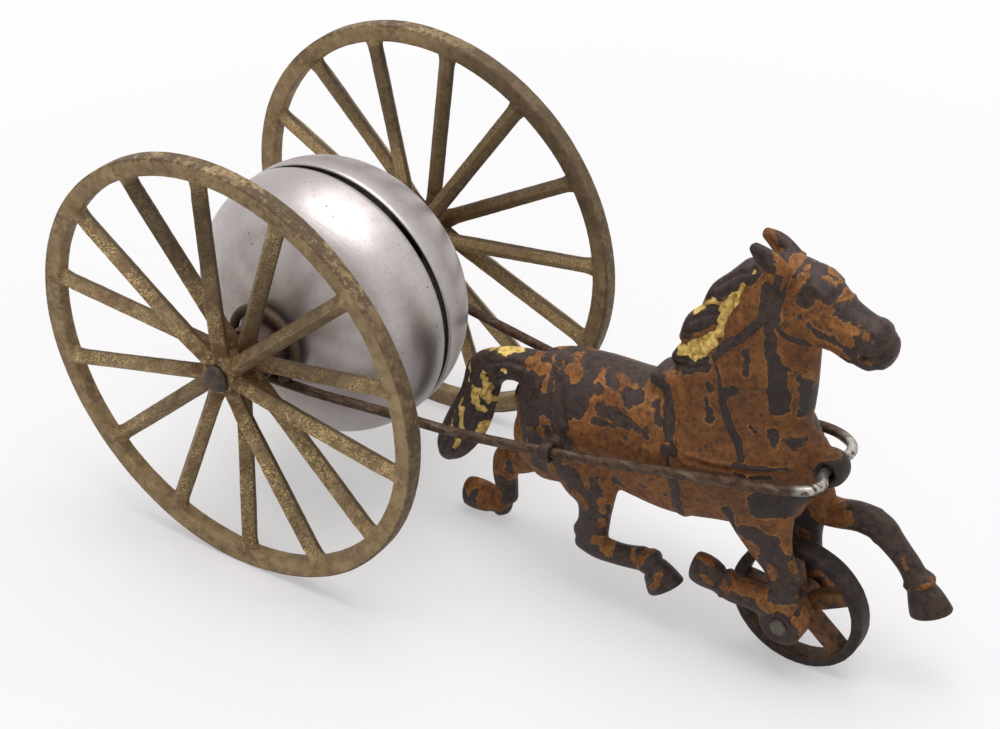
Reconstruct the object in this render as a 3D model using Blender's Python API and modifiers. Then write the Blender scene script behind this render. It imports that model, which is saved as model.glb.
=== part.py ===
"""Cast iron bell toy: a horse in two cast halves draws a pair of gongs between two spoked wheels.

Frame: +X is the way the horse heads, +Y its left side, +Z up, and Z = 0 is the floor.
The origin is the middle of the toy's footprint. Sizes below are millimetres times MM.
"""
import math

import bmesh
import bpy
from mathutils import Matrix, Vector

MM = 0.001

# General clearances
GAP = 0.3 * MM

# Road wheels
WHEEL_R = 50.8 * MM
WHEEL_TRACK = 75.2 * MM
RIM_WIDTH = 3.9 * MM
RIM_DEPTH = 4.2 * MM
RIM_EDGE = 0.7 * MM
SPOKES = 14
SPOKE_WIDTH = 3.3 * MM
SPOKE_THICK = 3.0 * MM
HUB_R = 4.4 * MM
HUB_LENGTH = 9.6 * MM
HUB_OUTBOARD = 2.4 * MM
SPOKE_END_INSET = 1.7 * MM
SPOKE_TURN_RIGHT = 0.56
SPOKE_TURN_LEFT = 0.14

# Main axle
AXLE_R = 2.4 * MM
AXLE_HEAD_R = 3.5 * MM
AXLE_HEAD_H = 1.3 * MM

# Gongs
BELL_R = 31.8 * MM
BELL_DEPTH = 21.4 * MM
BELL_WALL = 1.0 * MM
BELL_POWER = 2.3
MOUTH_GAP = 2.3 * MM
SLEEVE_R = 6.3 * MM

# Striker carrier and strikers inside the gongs
BOSS_R = 5.0 * MM
SPIDER_HALF_GAP = 2.2 * MM
SPIDER_PLATE = 1.4 * MM
SPIDER_ARM_WIDTH = 5.0 * MM
STRIKERS = 3
PIVOT_RADIUS = 13.0 * MM
PIVOT_PIN_R = 1.1 * MM
PIVOT_HEAD_R = 1.9 * MM
PIVOT_HEAD_H = 0.8 * MM
STRIKER_ARM = 15.4 * MM
STRIKER_ARM_WIDTH = 3.2 * MM
STRIKER_EYE_R = 2.5 * MM
STRIKER_HEAD_R = 3.0 * MM
STRIKER_HEAD_HALF = 4.5 * MM
STRIKER_BACK_DEG = 118.0
STRIKER_CARRY_DEG = (-90.0, 150.0, 30.0)
STRIKER_AT_GONG = (True, True, False)

# Shaft wire
WIRE_R = 1.15 * MM
EYE_GAP = 1.2 * MM

# Front wheel and its axle
FRONT_WHEEL_R = 15.0 * MM
FRONT_RIM_WIDTH = 4.6 * MM
FRONT_RIM_DEPTH = 2.4 * MM
FRONT_SPOKES = 5
FRONT_SPOKE_FIRST_DEG = 31.0
FRONT_SPOKE_WIDTH = 3.4 * MM
FRONT_SPOKE_THICK = 3.8 * MM
FRONT_HUB_R = 3.9 * MM
FRONT_HUB_HALF = 3.9 * MM
FRONT_SIDE_PLAY = 0.4 * MM
FRONT_AXLE_X = 120.2 * MM
FRONT_AXLE_R = 1.7 * MM
FRONT_HEAD_R = 2.7 * MM
FRONT_HEAD_H = 1.0 * MM

# Horse
TOE_REACH = 150.0 * MM
LEG_HALF = 2.6 * MM
HORSE_WALL = 2.6 * MM
VOXEL = 1.0 * MM
HALF_TRIANGLES = 2500
RIVET_R = 1.3 * MM
RIVET_HEAD_R = 2.0 * MM
RIVET_HEAD_H = 0.6 * MM

# Places that follow from the sizes
AXLE_X = -(TOE_REACH - WHEEL_R) / 2
AXLE_Z = WHEEL_R
HUB_OUTER = WHEEL_TRACK / 2 + HUB_OUTBOARD
HUB_INNER = HUB_OUTER - HUB_LENGTH
BELL_TOP = MOUTH_GAP / 2 + BELL_DEPTH
EYE_Y = BELL_TOP + WIRE_R + 2 * GAP
EYE_RADIUS = SLEEVE_R + EYE_GAP + WIRE_R
LUG_INNER = FRONT_HUB_HALF + FRONT_SIDE_PLAY
LEG_OUTER = LUG_INNER + 2 * LEG_HALF

# Steps around turned pieces
BIG_STEPS = 48
FRONT_STEPS = 28
BELL_STEPS = 32
SMALL_STEPS = 16
PIN_STEPS = 10
GONG_POINTS = 7


def clear_scene():
    for obj in list(bpy.data.objects):
        bpy.data.objects.remove(obj, do_unlink=True)


def new_collection(name):
    coll = bpy.data.collections.new(name)
    bpy.context.scene.collection.children.link(coll)
    return coll


clear_scene()
PARTS = new_collection("cast_iron_bell_toy")
CUTTERS = new_collection("cutters")


def material(name, colour, roughness, metallic):
    mat = bpy.data.materials.new(name)
    mat.use_nodes = True
    shader = mat.node_tree.nodes["Principled BSDF"]
    shader.inputs["Base Color"].default_value = (*colour, 1.0)
    shader.inputs["Roughness"].default_value = roughness
    shader.inputs["Metallic"].default_value = metallic
    return mat


def add_object(name, mesh, coll, colour=None, roughness=0.6, metallic=0.8):
    obj = bpy.data.objects.new(name, mesh)
    coll.objects.link(obj)
    if coll is CUTTERS:
        obj.hide_render = True
        obj.display_type = "WIRE"
    elif colour is not None:
        mesh.materials.append(material(name, colour, roughness, metallic))
    return obj


def mesh_from(bm, name):
    mesh = bpy.data.meshes.new(name)
    bm.to_mesh(mesh)
    bm.free()
    return mesh


def facing(side):
    """Rotation that turns local Z to +Y on the left side and to -Y on the right side."""
    return (-side * math.pi / 2, 0.0, 0.0)


def boolean(obj, cutter, operation="DIFFERENCE"):
    mod = obj.modifiers.new(operation.lower(), "BOOLEAN")
    mod.operation = operation
    mod.solver = "EXACT"
    mod.object = cutter


def turned(name, profile, steps, coll, closed=True, start=0.0, **look):
    """Turn a profile of (radius, height) points about local Z; it runs down its outer side."""
    mesh = bpy.data.meshes.new(name)
    points = [(r * math.cos(start), r * math.sin(start), z) for r, z in profile]
    edges = [(i, i + 1) for i in range(len(points) - 1)]
    if closed:
        edges.append((len(points) - 1, 0))
    mesh.from_pydata(points, edges, [])
    obj = add_object(name, mesh, coll, **look)
    screw = obj.modifiers.new("turn", "SCREW")
    screw.axis = "Z"
    screw.angle = 2 * math.pi
    screw.steps = steps
    screw.render_steps = steps
    screw.use_merge_vertices = True
    screw.merge_threshold = 0.00001
    screw.use_normal_calculate = False
    return obj


def cylinder(name, radius, length, centre, side, coll, segments=SMALL_STEPS, **look):
    """A cylinder along Y, centred on a point."""
    bm = bmesh.new()
    bmesh.ops.create_cone(
        bm, cap_ends=True, segments=segments, radius1=radius, radius2=radius, depth=length
    )
    obj = add_object(name, mesh_from(bm, name), coll, **look)
    obj.location = centre
    obj.rotation_euler = facing(side)
    return obj


def axis_empty(name, location):
    empty = bpy.data.objects.new(name, None)
    empty.empty_display_size = 0.01
    empty.location = location
    PARTS.objects.link(empty)
    return empty


def hang_on(obj, empty):
    """Parent a piece to its axis without moving it."""
    obj.parent = empty
    obj.location = Vector(obj.location) - Vector(empty.location)


MAIN_AXIS = axis_empty("main_axis", (AXLE_X, 0.0, AXLE_Z))
FRONT_AXIS = axis_empty("front_axis", (AXLE_X + FRONT_AXLE_X, 0.0, FRONT_WHEEL_R))


# Wheels

IRON_GOLD = (0.23, 0.17, 0.09)
IRON_DARK = (0.07, 0.045, 0.035)
HORSE_BROWN = (0.22, 0.10, 0.04)
STEEL_GREY = (0.42, 0.40, 0.40)
WIRE_RUST = (0.12, 0.08, 0.06)


def rim_profile(tread, steps, width, depth, edge):
    """Cross-section of a rim, its corners set out so that the flats of the tread touch the floor."""
    radius = tread / math.cos(math.pi / steps)
    half = width / 2
    inner = radius - depth
    return [
        (inner + edge, half),
        (radius - edge, half),
        (radius, half - edge),
        (radius, -half + edge),
        (radius - edge, -half),
        (inner + edge, -half),
        (inner, -half + edge),
        (inner, half - edge),
    ]


def hub_profile(radius, bore, half, edge):
    return [
        (bore, half),
        (radius - edge, half),
        (radius, half - edge),
        (radius, -half + edge),
        (radius - edge, -half),
        (bore, -half),
    ]


def spoke(name, start, end, width, thick, sides):
    """A ridged spoke between two points, its ridge facing along the wheel's axis."""
    run = Vector(end) - Vector(start)
    bm = bmesh.new()
    bmesh.ops.create_cone(
        bm, cap_ends=True, segments=sides, radius1=0.5, radius2=0.5, depth=run.length
    )
    along = run.normalized()
    across = Vector((0.0, 1.0, 0.0)).cross(along).normalized()
    out = along.cross(across)
    turn = Matrix((across * width, out * thick, along)).transposed().to_4x4()
    bm.transform(Matrix.Translation((Vector(start) + Vector(end)) / 2) @ turn)
    return add_object(name, mesh_from(bm, name), CUTTERS)


def around(centre, radius, angle, y):
    """A point at an angle about the Y axis through a centre, angle from +X towards +Z."""
    return (
        centre[0] + radius * math.cos(angle),
        y,
        centre[2] + radius * math.sin(angle),
    )


def road_wheel(name, side, first):
    """Spokes go by turns to the outer and to the inner end of the hub, starting part of a pitch round."""
    centre = (AXLE_X, 0.0, AXLE_Z)
    rim_y = side * WHEEL_TRACK / 2
    wheel = turned(
        name, rim_profile(WHEEL_R, BIG_STEPS, RIM_WIDTH, RIM_DEPTH, RIM_EDGE), BIG_STEPS, PARTS,
        start=math.pi / BIG_STEPS, colour=IRON_GOLD, roughness=0.5, metallic=0.7,
    )
    wheel.location = (AXLE_X, rim_y, AXLE_Z)
    wheel.rotation_euler = facing(side)
    hub_y = side * (HUB_INNER + HUB_OUTER) / 2
    hub = turned(
        name + "_hub", hub_profile(HUB_R, AXLE_R + GAP, HUB_LENGTH / 2, RIM_EDGE),
        SMALL_STEPS, CUTTERS,
    )
    hub.location = (AXLE_X, hub_y, AXLE_Z)
    hub.rotation_euler = facing(side)
    inside_hub = (AXLE_R + GAP + HUB_R) / 2
    inside_rim = WHEEL_R - RIM_DEPTH / 2
    boolean(wheel, hub, "UNION")
    for i in range(SPOKES):
        angle = 2 * math.pi * (i + first) / SPOKES
        inset = SPOKE_END_INSET if i % 2 else HUB_LENGTH - SPOKE_END_INSET
        start = around(centre, inside_hub, angle, side * (HUB_OUTER - inset))
        end = around(centre, inside_rim, angle, rim_y)
        rod = spoke(f"{name}_spoke_{i}", start, end, SPOKE_WIDTH, SPOKE_THICK, 6)
        boolean(wheel, rod, "UNION")
    hang_on(wheel, MAIN_AXIS)
    return wheel


def front_wheel():
    centre = (AXLE_X + FRONT_AXLE_X, 0.0, FRONT_WHEEL_R)
    wheel = turned(
        "front_wheel",
        rim_profile(FRONT_WHEEL_R, FRONT_STEPS, FRONT_RIM_WIDTH, FRONT_RIM_DEPTH, RIM_EDGE),
        FRONT_STEPS, PARTS, start=math.pi / FRONT_STEPS,
        colour=IRON_DARK, roughness=0.6, metallic=0.6,
    )
    wheel.location = centre
    wheel.rotation_euler = facing(1)
    hub = turned(
        "front_hub",
        hub_profile(FRONT_HUB_R, FRONT_AXLE_R + GAP, FRONT_HUB_HALF, RIM_EDGE),
        SMALL_STEPS, CUTTERS,
    )
    hub.location = centre
    hub.rotation_euler = facing(1)
    boolean(wheel, hub, "UNION")
    inside_hub = (FRONT_AXLE_R + GAP + FRONT_HUB_R) / 2
    inside_rim = FRONT_WHEEL_R - FRONT_RIM_DEPTH / 2
    for i in range(FRONT_SPOKES):
        angle = math.radians(FRONT_SPOKE_FIRST_DEG) + 2 * math.pi * i / FRONT_SPOKES
        start = around(centre, inside_hub, angle, 0.0)
        end = around(centre, inside_rim, angle, 0.0)
        rod = spoke(
            f"front_spoke_{i}", start, end, FRONT_SPOKE_WIDTH, FRONT_SPOKE_THICK, 8
        )
        boolean(wheel, rod, "UNION")
    hang_on(wheel, FRONT_AXIS)
    return wheel


def pin_profile(radius, half, head_radius, head_height):
    """A pin with a domed, hammered head at both ends."""
    top = half + head_height
    upper = [
        (0.0, top),
        (head_radius * 0.6, top - head_height * 0.2),
        (head_radius, half + head_height * 0.45),
        (head_radius, half),
        (radius, half),
    ]
    return upper + [(r, -z) for r, z in reversed(upper)]


def pin(name, radius, half, head_radius, head_height, centre, steps, colour):
    """Its ends meet the axis, so the profile stays open there."""
    obj = turned(
        name, pin_profile(radius, half, head_radius, head_height), steps, PARTS,
        closed=False, colour=colour, roughness=0.55, metallic=0.8,
    )
    obj.location = centre
    obj.rotation_euler = facing(1)
    return obj


# Gongs and the striker carrier

def gong_curve(radius, depth, bore, count):
    """Points of a flattened dome from the bore at the crown down to the mouth."""
    points = []
    for i in range(count + 1):
        t = math.pi / 2 * i / count
        r = bore + (radius - bore) * math.sin(t) ** (2 / BELL_POWER)
        z = depth * math.cos(t) ** (2 / BELL_POWER) if i < count else 0.0
        points.append((r, z))
    return points


def gong(name, side):
    bore = AXLE_R + GAP
    outer = gong_curve(BELL_R, BELL_DEPTH, bore, GONG_POINTS)
    inner = gong_curve(BELL_R - BELL_WALL, BELL_DEPTH - BELL_WALL, bore, GONG_POINTS)
    obj = turned(
        name, outer + inner[::-1], BELL_STEPS, PARTS,
        colour=STEEL_GREY, roughness=0.35, metallic=0.9,
    )
    obj.location = (AXLE_X, side * MOUTH_GAP / 2, AXLE_Z)
    obj.rotation_euler = facing(side)
    hang_on(obj, MAIN_AXIS)
    return obj


def sleeve(name, side):
    """A spacer between the gong's crown and the wheel's hub; the wire's eye runs on it."""
    start = BELL_TOP + GAP
    end = HUB_INNER - GAP
    obj = turned(
        name, hub_profile(SLEEVE_R, AXLE_R + GAP, (end - start) / 2, GAP),
        SMALL_STEPS, PARTS, colour=WIRE_RUST, roughness=0.5, metallic=0.7,
    )
    obj.location = (AXLE_X, side * (start + end) / 2, AXLE_Z)
    obj.rotation_euler = facing(side)
    hang_on(obj, MAIN_AXIS)
    return obj


def striker_carrier():
    """A boss that spaces the gongs, with two three-armed spiders for the strikers' pivots."""
    half = BELL_TOP - BELL_WALL - GAP
    obj = turned(
        "striker_carrier", hub_profile(BOSS_R, AXLE_R + GAP, half, GAP),
        SMALL_STEPS, PARTS, colour=IRON_DARK, roughness=0.6, metallic=0.7,
    )
    obj.location = (AXLE_X, 0.0, AXLE_Z)
    obj.rotation_euler = facing(1)
    plate_y = SPIDER_HALF_GAP + SPIDER_PLATE / 2
    tip = PIVOT_RADIUS + SPIDER_ARM_WIDTH / 2
    root = (BOSS_R + AXLE_R + GAP) / 2
    for side in (-1, 1):
        for i in range(STRIKERS):
            angle = math.radians(STRIKER_CARRY_DEG[i])
            bm = bmesh.new()
            bmesh.ops.create_cube(bm, size=1.0)
            size = Matrix.Diagonal((tip - root, SPIDER_PLATE, SPIDER_ARM_WIDTH, 1.0))
            out = Matrix.Translation(((tip + root) / 2, side * plate_y, 0.0))
            turn = Matrix.Rotation(-angle, 4, "Y")
            bm.transform(turn @ out @ size)
            arm = add_object(f"spider_arm_{side}_{i}", mesh_from(bm, "spider_arm"), CUTTERS)
            arm.location = (AXLE_X, 0.0, AXLE_Z)
            boolean(obj, arm, "UNION")
    for i in range(STRIKERS):
        hole = cylinder(
            f"pivot_hole_{i}", PIVOT_PIN_R + GAP, 4 * plate_y, pivot_place(i), 1, CUTTERS, 16
        )
        boolean(obj, hole)
    hang_on(obj, MAIN_AXIS)
    return obj


def pivot_place(i):
    angle = math.radians(STRIKER_CARRY_DEG[i])
    return around((AXLE_X, 0.0, AXLE_Z), PIVOT_RADIUS, angle, 0.0)


def strike_angle():
    """How far a striker is folded back, from pointing straight out, as its head meets the gongs."""
    bore = AXLE_R + GAP
    depth = (STRIKER_HEAD_HALF - MOUTH_GAP / 2) / (BELL_DEPTH - BELL_WALL)
    wall = bore + (BELL_R - BELL_WALL - bore) * (1 - depth ** BELL_POWER) ** (1 / BELL_POWER)
    reach = wall * math.cos(math.pi / BELL_STEPS) - STRIKER_HEAD_R - 1.5 * GAP
    cosine = (reach ** 2 - PIVOT_RADIUS ** 2 - STRIKER_ARM ** 2) / (2 * PIVOT_RADIUS * STRIKER_ARM)
    return math.acos(max(-1.0, min(1.0, cosine)))


def striker(name, i):
    """A swinging weight whose barrel head reaches across both mouths."""
    pivot = pivot_place(i)
    fold = strike_angle() if STRIKER_AT_GONG[i] else math.radians(STRIKER_BACK_DEG)
    lean = math.radians(STRIKER_CARRY_DEG[i]) - fold
    head_at = around(pivot, STRIKER_ARM, lean, 0.0)
    thick = 2 * (SPIDER_HALF_GAP - GAP)
    obj = turned(
        name, hub_profile(STRIKER_EYE_R, PIVOT_PIN_R + GAP, thick / 2, GAP),
        16, PARTS, colour=IRON_DARK, roughness=0.6, metallic=0.7,
    )
    obj.location = pivot
    obj.rotation_euler = facing(1)
    near = around(pivot, (STRIKER_EYE_R + PIVOT_PIN_R + GAP) / 2, lean, 0.0)
    arm = spoke(name + "_arm", near, head_at, STRIKER_ARM_WIDTH, thick * 0.8, 8)
    boolean(obj, arm, "UNION")
    head = turned(
        name + "_head", solid_profile(STRIKER_HEAD_R, STRIKER_HEAD_HALF, 2 * GAP),
        16, CUTTERS, closed=False,
    )
    head.location = head_at
    head.rotation_euler = facing(1)
    boolean(obj, head, "UNION")
    return obj


def solid_profile(radius, half, edge):
    return [
        (0.0, half),
        (radius - edge, half),
        (radius, half - edge),
        (radius, -half + edge),
        (radius - edge, -half),
        (0.0, -half),
    ]


# Shaft wire

def smooth_path(points, step_count):
    """Points along a Catmull-Rom curve through the given ones."""
    path = []
    last = len(points) - 1
    for i in range(last):
        p0 = Vector(points[max(i - 1, 0)])
        p1 = Vector(points[i])
        p2 = Vector(points[i + 1])
        p3 = Vector(points[min(i + 2, last)])
        for k in range(step_count):
            t = k / step_count
            path.append(
                0.5 * (2 * p1 + (p2 - p0) * t + (2 * p0 - 5 * p1 + 4 * p2 - p3) * t * t
                       + (3 * p1 - p0 - 3 * p2 + p3) * t * t * t)
            )
    path.append(Vector(points[last]))
    return path


EYE_HOLE_X = 124.7 * MM
EYE_HOLE_Z = 51.5 * MM
LUG_X = 67.0 * MM
LUG_Y = 14.2 * MM
LUG_Z = 43.3 * MM


def side_route():
    """One side's run, from the eye's foot to the middle of the chest eye, on the left."""
    foot = AXLE_Z - EYE_RADIUS
    return [
        (0.0, EYE_Y, foot),
        (14.0 * MM, EYE_Y - 0.8 * MM, foot),
        (30.0 * MM, EYE_Y - 3.4 * MM, foot + 0.1 * MM),
        (48.0 * MM, LUG_Y + 3.9 * MM, LUG_Z - 0.4 * MM),
        (LUG_X, LUG_Y, LUG_Z),
        (84.0 * MM, LUG_Y - 0.9 * MM, LUG_Z + 1.9 * MM),
        (101.0 * MM, LUG_Y - 1.2 * MM, LUG_Z + 4.3 * MM),
        (113.0 * MM, LUG_Y - 1.6 * MM, EYE_HOLE_Z - 1.9 * MM),
        (120.0 * MM, LUG_Y - 2.6 * MM, EYE_HOLE_Z - 0.7 * MM),
        (EYE_HOLE_X, LUG_Y - 5.0 * MM, EYE_HOLE_Z),
        (EYE_HOLE_X + 1.2 * MM, LUG_Y - 8.2 * MM, EYE_HOLE_Z),
        (EYE_HOLE_X, 3.2 * MM, EYE_HOLE_Z),
        (EYE_HOLE_X, 0.0, EYE_HOLE_Z),
    ]


def wire_route():
    """Eye, right side, chest eye, left side and eye, as one list of points."""
    run = smooth_path(side_route(), 2)
    turns = 14
    eye = []
    for i in range(turns):
        angle = -math.pi / 2 - 2 * math.pi * (turns - i) / (turns + 1.2)
        eye.append(Vector((
            EYE_RADIUS * math.cos(angle), EYE_Y, AXLE_Z + EYE_RADIUS * math.sin(angle)
        )))
    left = eye + run
    right = [Vector((p.x, -p.y, p.z)) for p in left]
    whole = right + left[::-1][1:]
    return [Vector((p.x + AXLE_X, p.y, p.z)) for p in whole]


def wire_tube(name, radius, coll):
    curve = bpy.data.curves.new(name, "CURVE")
    curve.dimensions = "3D"
    curve.bevel_depth = radius
    curve.bevel_resolution = 2
    curve.use_fill_caps = True
    route = wire_route()
    line = curve.splines.new("POLY")
    line.points.add(len(route) - 1)
    for point, place in zip(line.points, route):
        point.co = (*place, 1.0)
    source = bpy.data.objects.new(name + "_line", curve)
    CUTTERS.objects.link(source)
    bpy.context.view_layer.update()
    solid = source.evaluated_get(bpy.context.evaluated_depsgraph_get())
    mesh = bpy.data.meshes.new_from_object(solid)
    bpy.data.objects.remove(source, do_unlink=True)
    bm = bmesh.new()
    bm.from_mesh(mesh)
    bmesh.ops.remove_doubles(bm, verts=bm.verts, dist=0.00001)
    bmesh.ops.recalc_face_normals(bm, faces=bm.faces)
    bm.to_mesh(mesh)
    bm.free()
    mesh.name = name
    return add_object(name, mesh, coll, colour=WIRE_RUST, roughness=0.6, metallic=0.7)


# Horse: each form is a loft through stations (x, z, y, half depth, half width), in millimetres
# forward of the main axle, above the floor and out from the middle.

CHEST = EYE_HOLE_X / MM
FRONT_X = FRONT_AXLE_X / MM
FRONT_Z = FRONT_WHEEL_R / MM
TOE = TOE_REACH / MM
LEG_W = LEG_HALF / MM
LEG_LINE = LUG_INNER / MM + LEG_W

TRUNK = [
    (52.6, 43.0, 0, 4.5, 3.5), (54.2, 43.2, 0, 9.0, 6.4), (58.2, 42.8, 0, 14.0, 9.4),
    (65.0, 43.4, 0, 15.1, 10.8), (73.0, 44.0, 0, 14.1, 10.5), (82.0, 43.6, 0, 15.0, 10.4),
    (90.0, 44.3, 0, 16.2, 10.8), (99.0, 46.2, 0, 15.9, 11.0), (108.0, 48.5, 0, 16.0, 10.8),
    (CHEST - 9.7, 51.4, 0, 13.8, 9.5), (CHEST - 4.7, 52.4, 0, 10.5, 7.0),
    (CHEST - 1.7, 52.8, 0, 5.5, 4.0),
]
NECK = [
    (103.0, 54.0, 0, 16.0, 10.0), (105.5, 62.0, 0, 14.5, 9.0), (108.0, 70.0, 0, 13.0, 7.8),
    (110.3, 78.0, 0, 10.8, 6.8), (112.0, 85.0, 0, 8.8, 6.0), (112.5, 90.0, 0, 6.5, 5.2),
]
HEAD = [
    (108.0, 90.5, 0, 4.6, 3.8), (111.8, 90.0, 0, 7.0, 4.9), (116.6, 88.5, 0, 8.1, 5.3),
    (121.0, 86.6, 0, 7.6, 5.2), (125.4, 85.0, 0, 5.8, 4.6), (129.4, 83.4, 0, 5.6, 4.4),
    (132.6, 82.7, 0, 5.5, 4.4), (134.4, 82.3, 0, 3.9, 3.4),
]
TAIL = [
    (57.0, 49.6, 0, 4.2, 5.0), (51.5, 49.6, 0, 3.3, 4.4), (46.4, 48.4, 0, 3.7, 4.1),
    (42.2, 45.2, 0, 4.5, 3.9), (40.8, 41.0, 0, 4.5, 3.7), (39.6, 37.0, 0, 4.6, 3.6),
    (38.0, 33.0, 0, 4.9, 3.5), (35.9, 28.7, 0, 5.0, 3.4), (33.5, 24.3, 0, 4.6, 3.2),
    (31.3, 20.6, 0, 3.7, 2.8), (30.0, 18.3, 0, 2.2, 1.8),
]
MANE = [
    [(107.5, 90.0, 0, 4.5, 3.8), (104.0, 85.5, 0, 4.8, 4.2), (99.5, 82.0, 0, 4.0, 3.4),
     (96.0, 79.6, 0, 2.0, 1.8)],
    [(105.0, 81.0, 0, 5.5, 4.4), (99.0, 76.5, 0, 5.0, 4.0), (94.2, 72.9, 0, 4.2, 3.2),
     (91.2, 71.0, 0, 2.0, 1.8)],
    [(103.0, 71.5, 0, 6.5, 5.0), (96.0, 68.0, 0, 4.6, 4.0), (91.6, 66.2, 0, 3.2, 3.0),
     (89.4, 65.3, 0, 1.5, 1.6)],
]
SADDLE = [
    (83.0, 59.6, 0, 1.6, 3.2), (85.5, 60.6, 0, 2.3, 4.4), (89.5, 62.0, 0, 2.3, 4.4),
    (92.0, 63.0, 0, 1.6, 3.2),
]
RIGHT_FORMS = [
    # haunch, hind leg drawn under the body, its cannon and its hoof
    [(57.2, 36.2, 5.0, 7.6, 4.0), (60.0, 36.5, 5.4, 9.3, 4.8), (65.0, 37.0, 5.6, 8.9, 5.0),
     (70.0, 37.0, 5.6, 8.6, 4.8), (76.0, 38.0, 5.2, 8.0, 4.2)],
    [(72.5, 34.0, 6.2, 9.4, 4.2), (73.2, 30.6, 6.5, 7.6, 3.7), (74.1, 27.6, 6.8, 4.9, 3.2),
     (74.2, 24.6, 6.8, 3.9, 2.9), (73.8, 20.6, 6.8, 3.7, 2.7), (73.0, 17.2, 6.8, 4.3, 2.5)],
    [(71.2, 15.9, 6.8, 2.9, 2.3), (75.0, 14.9, 6.8, 2.8, 2.4), (80.0, 15.0, 6.8, 2.2, 2.3),
     (84.0, 15.5, 6.8, 2.5, 2.3), (86.8, 15.2, 6.8, 3.0, 2.4)],
    [(86.4, 15.2, 6.8, 3.1, 2.4), (89.4, 14.0, 6.8, 3.9, 2.7), (92.8, 13.7, 6.8, 3.4, 2.8),
     (95.2, 13.8, 6.8, 2.4, 2.3)],
    # bent foreleg: forearm down to the lug, cannon back to the hoof
    [(111.6, 43.5, 5.5, 9.2, 4.2), (113.4, 38.0, LEG_LINE - 0.7, 7.6, 3.8),
     (FRONT_X - 4.2, 32.5, LEG_LINE, 5.2, 2.9), (FRONT_X - 2.0, 28.7, LEG_LINE, 3.9, LEG_W),
     (FRONT_X - 0.7, 25.0, LEG_LINE, 3.3, LEG_W), (FRONT_X - 0.1, FRONT_Z + 5.2, LEG_LINE, 3.2, LEG_W),
     (FRONT_X, FRONT_Z + 1.0, LEG_LINE, 3.8, LEG_W)],
    [(FRONT_X - 2.2, FRONT_Z + 3.4, LEG_LINE + 0.5, 4.0, LEG_W),
     (FRONT_X - 7.0, FRONT_Z + 4.0, LEG_LINE + 0.9, 3.2, LEG_W),
     (FRONT_X - 11.0, FRONT_Z + 3.9, LEG_LINE + 1.1, 3.1, LEG_W),
     (FRONT_X - 13.8, FRONT_Z + 4.6, LEG_LINE + 1.1, 3.3, LEG_W)],
    [(FRONT_X - 12.8, FRONT_Z + 4.6, LEG_LINE + 1.1, 3.3, 2.5),
     (FRONT_X - 15.4, FRONT_Z + 5.6, LEG_LINE + 1.1, 3.7, 2.7),
     (FRONT_X - 18.2, FRONT_Z + 5.8, LEG_LINE + 1.1, 3.3, 2.6),
     (FRONT_X - 20.3, FRONT_Z + 5.4, LEG_LINE + 1.1, 2.3, 2.0)],
    # ear
    [(114.0, 93.0, 3.6, 3.0, 2.0), (111.0, 97.0, 4.6, 2.6, 1.6), (108.3, 99.6, 5.4, 1.2, 1.0)],
]
LEFT_FORMS = [
    # hind leg, trailing, and its hoof
    [(58.0, 31.5, 5.0, 7.0, 4.2), (52.5, 24.8, 5.4, 5.0, 3.8), (47.3, 20.0, 5.8, 3.8, 3.2),
     (43.6, 18.2, 5.8, 4.0, 2.9), (42.2, 14.2, 5.8, 3.1, 2.8), (42.4, 10.5, 5.8, 2.7, 2.6),
     (42.4, 7.0, 5.8, 2.7, 2.5)],
    [(42.2, 5.4, 5.8, 3.0, 2.5), (39.0, 4.9, 5.8, 3.3, 2.6), (34.8, 4.3, 5.8, 3.5, 2.9),
     (31.5, 3.8, 5.8, 3.0, 2.6)],
    # foreleg, stretched out: forearm, cannon and hoof
    [(113.0, 41.0, 5.5, 7.6, 4.0), (118.5, 36.4, 6.5, 4.8, 3.4), (TOE - 26.9, 35.2, 7.0, 3.4, 3.0),
     (TOE - 21.4, 36.3, 7.0, 3.3, 2.9), (TOE - 17.5, 36.1, 7.0, 3.5, 2.8)],
    [(TOE - 18.0, 36.3, 7.0, 3.3, 2.6), (TOE - 15.8, 35.0, 7.0, 3.4, 2.7),
     (TOE - 13.6, 33.0, 7.0, 2.8, 2.6), (TOE - 11.2, 30.6, 7.0, 2.5, 2.5),
     (TOE - 9.2, 28.3, 7.0, 2.5, 2.5), (TOE - 7.6, 25.6, 7.0, 2.7, 2.5)],
    [(TOE - 8.0, 26.0, 7.0, 2.7, 2.5), (TOE - 6.4, 23.9, 7.0, 3.3, 2.7),
     (TOE - 4.5, 21.2, 7.0, 4.4, 2.9), (TOE - 3.2, 19.4, 7.0, 4.6, 2.7)],
    # post that carries the front axle
    [(118.5, 40.0, LEG_LINE - 0.5, 5.0, 3.2), (FRONT_X - 3.2, 30.0, LEG_LINE, 4.0, LEG_W),
     (FRONT_X - 2.0, FRONT_Z + 7.0, LEG_LINE, 3.2, LEG_W),
     (FRONT_X, FRONT_Z, LEG_LINE, 3.4, LEG_W)],
    # ear
    [(113.5, 92.0, 3.4, 3.0, 2.0), (109.0, 95.4, 4.4, 2.4, 1.6), (105.4, 96.6, 5.0, 1.2, 1.0)],
]
LOFT_SIDES = 16
CAP_SHRINK = 0.55


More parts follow.
